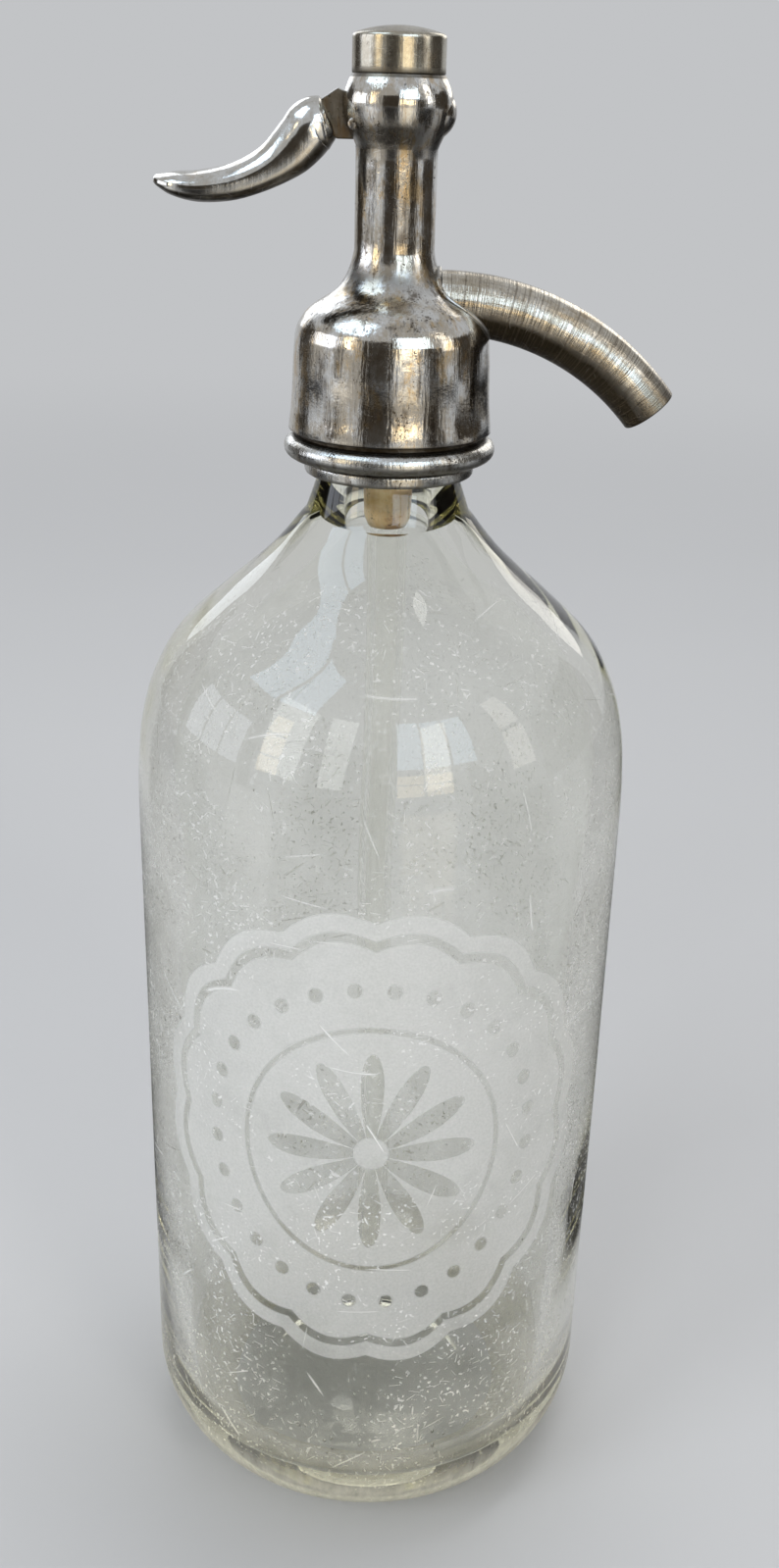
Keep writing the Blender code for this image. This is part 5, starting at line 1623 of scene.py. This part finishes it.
@dataclass
class Spout:
    """The curved spout with its square mouth."""

    effects: Effects
    height: float = 0.2596
    root_radius: float = 0.0057
    tip_radius: float = 0.0053
    bore: float = 0.0037
    root_x: float = 0.0088
    bend_x: float = 0.0098
    bend_radius: float = 0.0499
    bend_angle: float = math.radians(51.3)
    rim: float = 0.00035
    soiled_length: float = 0.008
    rows: int = 96
    sides: int = 80

    def path(self) -> tuple[list[Vector], list[Vector], list[float]]:
        """Walks along the centre line.

        Returns:
            Points of the centre line, the upward direction at each, and the outer radius at each.
        """
        centres, ups, radii = [], [], []
        for row in range(self.rows + 1):
            share = row / self.rows
            angle = self.bend_angle * share
            x = self.bend_x + self.bend_radius * math.sin(angle)
            z = self.height - self.bend_radius * (1 - math.cos(angle))
            centres.append(Vector((x, 0.0, z)))
            ups.append(Vector((math.sin(angle), 0.0, math.cos(angle))))
            radii.append(self.root_radius + (self.tip_radius - self.root_radius) * share)
        centres.insert(0, Vector((self.root_x, 0.0, self.height)))
        ups.insert(0, Vector((0.0, 0.0, 1.0)))
        radii.insert(0, self.root_radius)
        return centres, ups, radii

    def circle(self, radius: float) -> list[Point]:
        """Draws one round section."""
        steps = [math.tau * side / self.sides for side in range(self.sides)]
        return [(radius * math.cos(turn), radius * math.sin(turn)) for turn in steps]

    def build(self) -> None:
        """Sweeps the outside to the mouth, rounds the rim and comes back along the bore."""
        centres, ups, radii = self.path()
        tip, forward = centres[-1], Vector((math.cos(self.bend_angle), 0.0, -math.sin(self.bend_angle)))
        rows = list(zip(centres[:-1], ups[:-1], radii[:-1]))
        for step in range(6):
            turn = math.radians(90.0 * step / 5)
            back = self.rim * (1 - math.sin(turn))
            rows.append((tip - forward * back, ups[-1], radii[-1] - self.rim * (1 - math.cos(turn))))
        for step in range(6):
            turn = math.radians(90.0 * step / 5)
            back = self.rim * (1 - math.cos(turn))
            rows.append((tip - forward * back, ups[-1], self.bore + self.rim * (1 - math.sin(turn))))
        rows += [(centre, up, self.bore) for centre, up in zip(reversed(centres[:-1]), reversed(ups[:-1]))]
        places, rises, sizes = zip(*rows)
        piece = swept("siphon_spout", places, rises, [self.circle(size) for size in sizes], ends=False)
        smooth_faces(piece)

        def dirt_and_shade(at: Vector) -> float:
            """Soils the last stretch before the mouth."""
            return max(0.0, 0.75 * (1.0 + (at - tip).dot(forward) / self.soiled_length))

        # Faces of the spout that look down get painted shade, and the last stretch before the mouth is
        # soiled.
        mark_relief(piece, 0.30, 1.15, dirt_and_shade, 0.10)
        finish = NickelFinish(
            "spout nickel", plate=(0.50, 0.445, 0.355), cool=(0.78, 0.75, 0.68), warm=(0.40, 0.28, 0.13),
            bare=0.45, cloud=0.7, stain=0.5, pits=0.6, rings=3.5, ring_scale=2100.0, ring_shade=0.70,
            lay=Lay.ALONG,
        )
        seat(piece, finish.material(self.effects), "spout_nickel", Body.SIPHON, "spout")


@dataclass
class Lever:
    """The horn-shaped lever with its flat tang and round nose."""

    effects: Effects
    pivot: tuple[float, float] = (-0.0076, 0.2895)
    reach: float = 0.0356
    drop: float = 0.0102
    depth: float = 0.0104
    width: float = 0.0126
    travel: float = math.radians(15.0)
    tang: float = 0.0030
    hub: float = 0.0026
    top_rise: float = 0.0057
    top_reach: float = 0.0029
    foot_drop: float = 0.0026
    root_reach: float = 0.0062
    root_rise: float = 0.0036
    nose: float = 0.0013
    arm_half: float = 0.0009
    pin_hole: float = 0.00115
    sides: int = 64
    fullness: float = 0.5
    hollow_first: int = 5
    hollow_last: int = 11
    hollow_width: float = 0.62
    hollow_depth: float = 1.05
    stations: tuple[tuple[float, float, float, float], ...] = (
        (0.101, -0.02, 0.08, 0.07),
        (0.107, -0.02, 0.36, 0.30),
        (0.124, 0.00, 0.63, 0.54),
        (0.152, 0.02, 0.85, 0.70),
        (0.206, 0.06, 0.91, 0.78),
        (0.253, 0.25, 0.89, 0.81),
        (0.315, 0.48, 0.85, 0.83),
        (0.397, 0.70, 0.74, 0.85),
        (0.503, 0.89, 0.66, 0.89),
        (0.621, 1.02, 0.60, 0.95),
        (0.770, 1.08, 0.52, 1.00),
        (0.888, 1.05, 0.41, 0.90),
        (0.955, 1.01, 0.26, 0.66),
        (0.992, 0.98, 0.14, 0.36),
        (1.000, 0.975, 0.04, 0.10),
    )

    def spine(self, first: int, last: int, substeps: int) -> list[tuple[Vector, Vector, float, float]]:
        """Walks along the handle between two stations.

        Args:
            first: Index of the first station.
            last: Index of the last one.
            substeps: Points read between two stations.

        Returns:
            Centre, upward direction, half depth and half width at each point.
        """
        spots = []
        for reach, drop, depth, width in spline(self.stations[first:last + 1], substeps):
            centre = Vector((self.pivot[0] - self.reach * reach, 0.0, self.pivot[1] - self.drop * drop))
            spots.append((centre, max(depth, 0.02) * self.depth / 2, max(width, 0.02) * self.width / 2))
        walk = []
        for index, (centre, depth, width) in enumerate(spots):
            along = (spots[min(index + 1, len(spots) - 1)][0] - spots[max(index - 1, 0)][0]).normalized()
            walk.append((centre, Vector((along.z, 0.0, -along.x)), depth, width))
        return walk

    def section(self, depth: float, width: float, fullness: float) -> list[Point]:
        """Draws one section of the handle, round above and fuller below."""
        outline = []
        for side in range(self.sides):
            turn = math.tau * side / self.sides
            rise = math.sin(turn)
            if rise < 0:
                rise = -abs(rise) ** fullness
            outline.append((math.cos(turn) * width, rise * depth))
        return outline

    def handle(self) -> Piece:
        """Lofts the handle and hollows its underside."""
        walk = self.spine(0, len(self.stations) - 1, 6)
        sections = [self.section(depth, width, self.fullness) for _, _, depth, width in walk]
        piece = swept("siphon_lever", [w[0] for w in walk], [w[1] for w in walk], sections, ends=True)
        hollow = self.spine(self.hollow_first, self.hollow_last, 6)
        sections = []
        for index, (_, _, depth, width) in enumerate(hollow):
            fade = math.sin(math.pi * (index + 1) / (len(hollow) + 1)) ** 0.8
            halves = (depth * self.hollow_depth * fade, width * self.hollow_width * fade)
            sections.append(self.section(*halves, 1.0))
        centres = [centre - up * depth for centre, up, depth, _ in hollow]
        tool = swept("hollow", centres, [w[1] for w in hollow], sections, ends=True)
        shaped(piece, tool, Cut.REMOVE)
        return piece

    def tang_outline(self) -> list[Point]:
        """Draws the tang from the handle over the hub to the nose and back underneath."""
        x, z = self.pivot
        tilt = -self.travel / 2
        length = abs(x) / math.cos(tilt)
        outline = [(x - self.root_reach, z - self.foot_drop / 2), (x - self.top_reach, z - self.foot_drop)]
        spread = math.degrees(math.asin(self.arm_half / self.hub))
        middle = math.degrees(tilt)
        outline += arc((x, z), self.hub, -90, middle - spread, 12)
        nose = (x + length * math.cos(tilt), z + length * math.sin(tilt))
        open_angle = 180 - math.degrees(math.asin(self.arm_half / self.nose))
        outline += arc(nose, self.nose, middle - open_angle, middle + open_angle, 20)
        outline += arc((x, z), self.hub, middle + spread, 55, 6)
        outline.append((x - self.hub / 3, z + self.top_rise - self.hub / 3))
        outline.append((x - self.top_reach, z + self.top_rise))
        outline.append((x - self.root_reach, z + self.root_rise))
        return outline

    def build(self) -> None:
        """Joins the handle and the tang, drills the pin hole and dresses the lever."""
        piece = self.handle()
        shaped(piece, plate("tang", self.tang_outline(), self.tang, 0.00025), Cut.ADD)
        reach, hole = self.tang, self.pin_hole
        drill = turned("drill", [(0.0, reach), (hole, reach), (hole, -reach), (0.0, -reach)], 40)
        place = Matrix.Translation((self.pivot[0], 0.0, self.pivot[1]))
        drill.data.transform(place @ Matrix.Rotation(math.pi / 2, 4, "X"))
        shaped(piece, drill, Cut.REMOVE)
        smooth_faces(piece, 40.0)
        # Faces of the handle that look down get painted shade, a dark band along its underside.
        mark_relief(piece, 0.30, 0.95, level=0.06)
        finish = NickelFinish(
            "lever nickel", plate=(0.58, 0.555, 0.50), cool=(0.84, 0.85, 0.85), warm=(0.55, 0.42, 0.24),
            cloud=0.6, bare=0.25, stain=0.35, pits=0.35, roughness=0.02, relief=0.00003,
        )
        seat(piece, finish.material(self.effects), "lever_nickel", Body.LEVER, "lever")
        # The flat sides of the tang are painted dark as shadow, with plating marks over it.
        tang_shadow = NickelFinish(
            "tang painted shadow", plate=(0.13, 0.110, 0.085), cool=(0.26, 0.235, 0.20), warm=(0.20, 0.125, 0.06),
            cloud=0.7, bare=0.6, stain=0.7, pits=0.9, roughness=0.26, flat_shade=0.25,
        )
        piece.data.materials.append(tang_shadow.material(self.effects))
        # These flat side faces get the painted shadow finish.
        for face in piece.data.polygons:
            if abs(face.normal.y) > 0.95 and abs(abs(face.center.y) - self.tang / 2) < 0.0002:
                face.material_index = 1
                face.use_smooth = False


@dataclass
class Works:
    """The working pieces inside the head: the spring is wound again, the others keep the frame's shapes."""

    effects: Effects
    coil_radius: float = 0.0036
    wire_radius: float = 0.00045
    turns: int = 6
    steps: int = 30
    sides: int = 12
    spring_seat: float = 0.3011
    plunger_travel: float = 0.002
    finishes: dict[str, InnerFinish] = field(default_factory=lambda: {
        "brass": InnerFinish(
            "turned brass", (0.66, 0.48, 0.20), (0.40, 0.26, 0.09), 1.0, 0.16, 1800.0, 1.2, 0.00004
        ),
        "rubber": InnerFinish(
            "black rubber", (0.060, 0.058, 0.055), (0.025, 0.024, 0.023), 0.0, 0.62, 3800.0, 0.0, 0.00005
        ),
        "leather": InnerFinish(
            "greased leather", (0.24, 0.13, 0.06), (0.10, 0.05, 0.02), 0.0, 0.55, 2400.0, 0.0, 0.00008
        ),
        "fibre": InnerFinish(
            "red fibre", (0.36, 0.11, 0.07), (0.22, 0.06, 0.04), 0.0, 0.60, 5200.0, 0.0, 0.00004
        ),
        "lining": InnerFinish(
            "old lining", (0.50, 0.46, 0.38), (0.36, 0.32, 0.26), 0.0, 0.60, 2600.0, 0.0, 0.00006
        ),
        "wire": InnerFinish(
            "spring wire", (0.50, 0.50, 0.51), (0.30, 0.29, 0.28), 1.0, 0.22, 4200.0, 0.4, 0.00002
        ),
    })
    nodes: dict[str, tuple[str, ...]] = field(default_factory=lambda: {
        "brass": ("valve_seat", "valve_spindle", "washer_screw", "backing_washer", "plunger_head"),
        "rubber": ("tube_packing", "valve_washer"),
        "lining": ("mouth_gasket", "neck_cushion"),
        "leather": ("packing_cup",),
        "fibre": ("cap_washer",),
    })

    def spring(self) -> None:
        """Winds the return spring with closed end turns."""
        low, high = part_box("plunger_spring")
        bottom, top = low.z + self.wire_radius, high.z - self.wire_radius
        closed = self.wire_radius * 2.04
        marks = (0.0, 1.0, self.turns - 1.0, float(self.turns))
        rows = self.turns * self.steps + 1
        vertices = []
        for row in range(rows):
            turn = row / self.steps
            height = float(np.interp(turn, marks, (bottom, bottom + closed, top - closed, top)))
            angle = math.tau * turn
            for side in range(self.sides):
                bearing = math.tau * side / self.sides
                reach = self.coil_radius + self.wire_radius * math.cos(bearing)
                rise = self.wire_radius * math.sin(bearing)
                vertices.append((reach * math.cos(angle), reach * math.sin(angle), height + rise))
        faces = skin_faces(rows, self.sides) + end_faces(rows, self.sides)
        piece = link_mesh("siphon_spring", vertices, faces)
        smooth_faces(piece, 50.0)
        material = self.finishes["wire"].material(self.effects)
        seat(piece, material, "spring_steel", Body.SIPHON, "plunger_spring")
        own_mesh(piece)

    def build(self) -> None:
        """Winds the spring and dresses each carried-over node."""
        self.spring()
        for kind, names in self.nodes.items():
            material = self.finishes[kind].material(self.effects)
            for name in names:
                dress(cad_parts[name], material)
                LOG.info("%s: dressed in %s", name, material.name)


@dataclass(frozen=True)
class SoftBox:
    """One area lamp that faces a point on the object."""

    name: str
    place: tuple[float, float, float]
    size: tuple[float, float]
    power: float
    colour: Colour


@dataclass(frozen=True)
class Card:
    """One card on the floor, which only reflections show: dark felt, or lit where it glows."""

    name: str
    bearing: float
    spread: float
    near: float = 0.32
    far: float = 2.60
    colour: Colour = (0.03, 0.03, 0.032)
    glow: float = 0.0


@dataclass(frozen=True)
class Window:
    """One window beside the set, which only reflections show, or a dark wall where it has no glow."""

    name: str
    bearings: tuple[float, float]
    rises: tuple[float, float]
    columns: int = 1
    rows: int = 1
    colour: Colour = (0.095, 0.080, 0.064)
    glow: float = 0.0

    @property
    def bar(self) -> float:
        """Gives the share of a pane that the bars between panes take, none in a wall."""
        return 0.10 if self.glow else 0.0


@dataclass
class Studio:
    """The floor, the pale surroundings, the lamps, the cards and the camera."""

    floor_colour: Colour = (0.60, 0.605, 0.615)
    mottle: Grain = Grain(6.0, 1.0, 0.5)
    mottle_shade: float = 0.97
    surround: Colour = (0.54, 0.55, 0.565)
    ambient: float = 0.90
    aim: tuple[float, float, float] = (0.0, 0.0, 0.19)
    floor_reach: float = 8.0
    floor_drop: float = 0.0003
    fade_near: float = 0.35
    fade_far: float = 1.60
    window_distance: float = 2.4
    glass_bounces: int = 20
    boxes: tuple[SoftBox, ...] = (
        SoftBox("key_left", (-1.25, -0.90, 0.95), (0.60, 1.05), 7.5, (0.92, 0.96, 1.0)),
        SoftBox("key_right", (-0.62, -1.40, 0.95), (0.40, 1.05), 4.5, (0.94, 0.97, 1.0)),
        SoftBox("fill", (0.85, -1.30, 0.80), (0.40, 0.95), 4.5, (1.0, 0.95, 0.86)),
        SoftBox("top", (0.15, 0.35, 1.45), (0.90, 0.70), 7.5, (1.0, 1.0, 1.0)),
    )
    windows: tuple[Window, ...] = (
        Window("left_sky", (-96.0, -38.0), (40.0, 70.0), 2, 1, (0.66, 0.82, 1.0), 3.6),
        Window("left_wall", (-104.0, -68.0), (1.0, 25.0), 3, 1, (0.86, 0.90, 1.0), 2.8),
        Window("left_gap", (-59.0, -47.0), (3.0, 34.0), 1, 3, (1.0, 0.84, 0.58), 3.6),
        Window("right_sky", (7.0, 46.0), (15.0, 44.0), 3, 1, (0.70, 0.85, 1.0), 3.8),
        Window("right_low", (7.0, 33.0), (1.0, 12.5), 2, 2, (1.0, 0.84, 0.58), 3.4),
        Window("far_gap", (62.0, 76.0), (4.0, 46.0), 1, 2, (1.0, 0.97, 0.92), 2.6),
        Window("back_left", (-168.0, -140.0), (8.0, 42.0), 2, 2, (0.90, 0.94, 1.0), 2.4),
        Window("back_right", (138.0, 165.0), (8.0, 42.0), 2, 2, (0.98, 0.95, 0.90), 2.4),
        Window("wall_front", (-34.0, 3.0), (-5.0, 24.0)),
        Window("wall_middle", (40.0, 60.0), (-5.0, 14.0)),
        Window("wall_right", (80.0, 128.0), (-5.0, 24.0)),
        Window("wall_left", (-136.0, -106.0), (-5.0, 24.0)),
        Window("wall_near", (-67.0, -61.0), (-5.0, 30.0)),
    )
    cards: tuple[Card, ...] = (
        Card("front_card", -15.0, 38.0),
        Card("middle_card", 61.0, 46.0),
        Card("right_card", 130.0, 56.0),
        Card("left_card", -106.0, 52.0),
        Card("under_card", 0.0, 360.0, near=0.08, far=0.42),
        Card("left_glow", -59.0, 26.0, near=0.30, colour=(0.94, 0.95, 0.96), glow=1.25),
        Card("right_glow", 21.0, 27.0, near=0.30, colour=(1.0, 0.91, 0.75), glow=1.45),
    )
    camera_place: tuple[float, float, float] = (0.0, -0.2995, 0.2945)
    pitch: float = math.radians(23.76)
    roll: float = math.radians(-1.63)
    yaw: float = math.radians(0.36)
    focal_pixels: float = 1600.0
    long_side: float = 1599.0

    def build(self) -> None:
        """Sets up everything that isn't part of the object."""
        self.camera()
        self.floor()
        self.surroundings()
        for box in self.boxes:
            self.lamp(box)
        for card in self.cards:
            self.card(card)
        for window in self.windows:
            self.window(window)
        scene = bpy.context.scene
        scene.view_settings.view_transform = "Standard"
        for limit in ("max_bounces", "glossy_bounces", "transmission_bounces", "transparent_max_bounces"):
            setattr(scene.cycles, limit, self.glass_bounces)

    def camera(self) -> None:
        """Stands the camera where the photograph was taken from."""
        level = math.cos(self.pitch)
        forward = Vector((math.sin(self.yaw) * level, math.cos(self.yaw) * level, -math.sin(self.pitch)))
        right = Vector((math.cos(self.yaw), -math.sin(self.yaw), 0.0))
        down = forward.cross(right)
        across = right * math.cos(self.roll) + down * math.sin(self.roll)
        below = down * math.cos(self.roll) - right * math.sin(self.roll)
        data = bpy.data.cameras.new("portrait")
        data.sensor_width = 36.0
        data.lens = data.sensor_width * self.focal_pixels / self.long_side
        data.clip_start, data.clip_end = 0.01, 50.0
        camera = bpy.data.objects.new("portrait", data)
        bpy.context.scene.collection.objects.link(camera)
        turn = Matrix((across, -below, -forward)).transposed()
        camera.matrix_world = Matrix.Translation(self.camera_place) @ turn.to_4x4()
        bpy.context.scene.camera = camera

    def floor(self) -> None:
        """Lays a pale table with a faint mottle."""
        reach = self.floor_reach
        low = -self.floor_drop
        corners = [(-reach, -reach, low), (reach, -reach, low), (reach, reach, low), (-reach, reach, low)]
        piece = link_mesh("table_top", corners, [(0, 1, 2, 3)])
        material, g, shader = new_material("pale table")
        place = g.room()
        mottle = g.noise(place, self.mottle)
        tint = tuple(value * self.mottle_shade for value in self.floor_colour)
        colour = g.mix(mottle, rgba(tint), rgba(self.floor_colour))
        g.fill(shader, Base_Color=colour, Roughness=0.9, Specular_IOR_Level=0.1)
        glow = g.node("ShaderNodeEmission")
        g.fill(glow, Color=rgba(self.surround))
        away = g.times(g.step(g.length(place), self.fade_near, self.fade_far), g.seen())
        joined = g.made("ShaderNodeMixShader", away, shader.outputs[0], glow.outputs[0])
        g.fill(g.output(), Surface=joined)
        piece.data.materials.append(material)

    def surroundings(self) -> None:
        """Shows the pale surround to the camera, the metal and the glass, and dims it as a lamp."""
        world = bpy.data.worlds.new("surround")
        bpy.context.scene.world = world
        world.use_nodes = True
        world.node_tree.nodes.clear()
        g = Graph(world.node_tree)
        background = g.node("ShaderNodeBackground")
        g.fill(background, Color=rgba(self.surround), Strength=g.span(g.seen(), self.ambient, 1.0))
        g.fill(g.node("ShaderNodeOutputWorld"), Surface=background.outputs[0])

    def lamp(self, box: SoftBox) -> None:
        """Hangs one soft box and turns it to the object."""
        data = bpy.data.lights.new(box.name, "AREA")
        data.shape = "RECTANGLE"
        data.size, data.size_y = box.size
        data.energy = box.power
        data.color = box.colour
        lamp = bpy.data.objects.new(box.name, data)
        bpy.context.scene.collection.objects.link(lamp)
        away = Vector(box.place) - Vector(self.aim)
        lamp.location = box.place
        lamp.rotation_euler = away.to_track_quat("Z", "Y").to_euler()
        lamp.visible_glossy = False

    def card(self, card: Card) -> None:
        """Lays one card on the floor, with edges that fade out."""
        ring = card.spread >= 360.0
        columns = 48 if ring else 24
        reaches = (card.near, card.near * 1.25, card.far * 0.65, card.far)
        vertices, fades = [], []
        for row, reach in enumerate(reaches):
            for column in range(columns + 1):
                share = column / columns
                bearing = math.radians(card.bearing + (share - 0.5) * card.spread)
                vertices.append((reach * math.sin(bearing), -reach * math.cos(bearing), 0.001))
                side = 1.0 if ring else min(1.0, 8.0 * min(share, 1.0 - share))
                fades.append(side * (0.0 if row in (0, len(reaches) - 1) else 1.0))
        faces = []
        for row in range(len(reaches) - 1):
            for column in range(columns):
                near = row * (columns + 1) + column
                faces.append((near, near + 1, near + columns + 2, near + columns + 1))
        self.cover(card.name, vertices, faces, fades, card.colour, card.glow)

    def window(self, window: Window) -> None:
        """Hangs one window of bright panes on the far side of a sphere round the set."""
        vertices, faces = [], []
        width = (window.bearings[1] - window.bearings[0]) / window.columns
        height = (window.rises[1] - window.rises[0]) / window.rows
        for column in range(window.columns):
            for row in range(window.rows):
                left = window.bearings[0] + (column + window.bar / 2) * width
                low = window.rises[0] + (row + window.bar / 2) * height
                start = len(vertices)
                for across, up in ((0.0, 0.0), (1.0, 0.0), (1.0, 1.0), (0.0, 1.0)):
                    bearing = math.radians(left + across * width * (1.0 - window.bar))
                    rise = math.radians(low + up * height * (1.0 - window.bar))
                    flat = self.window_distance * math.cos(rise)
                    lift = self.aim[2] + self.window_distance * math.sin(rise)
                    vertices.append((flat * math.sin(bearing), -flat * math.cos(bearing), lift))
                faces.append(tuple(range(start, start + 4)))
        self.cover(window.name, vertices, faces, [1.0] * len(vertices), window.colour, window.glow)

    def cover(
        self,
        name: str,
        vertices: Sequence[Sequence[float]],
        faces: Sequence[Sequence[int]],
        fades: Sequence[float],
        colour: Colour,
        glow: float,
    ) -> None:
        """Makes a card or window that only reflections show.

        Args:
            name: Name of the object.
            vertices: Its points.
            faces: Its faces.
            fades: How solid it is at each point.
            colour: Colour of its felt or its light.
            glow: Strength of its light.
        """
        piece = link_mesh(name, vertices, faces)
        write_layer(piece, "fade", fades)
        material, g, shader = new_material(name + " cover")
        felt = rgba((0.0, 0.0, 0.0) if glow else colour)
        g.fill(shader, Base_Color=felt, Roughness=1.0, Specular_IOR_Level=0.0, Alpha=g.attribute("fade"))
        g.fill(shader, Emission_Color=rgba(colour), Emission_Strength=glow)
        piece.data.materials.append(material)
        for sight in ("visible_camera", "visible_shadow", "visible_diffuse", "visible_transmission"):
            setattr(piece, sight, False)


def main() -> None:
    logging.basicConfig(level=logging.INFO, format="%(message)s")
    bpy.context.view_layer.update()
    effects = Effects()
    Studio().build()
    for assembly in (Bottle, Collar, Head, Spout, Lever, Works):
        assembly(effects).build()


if __name__ == "__main__":
    main()
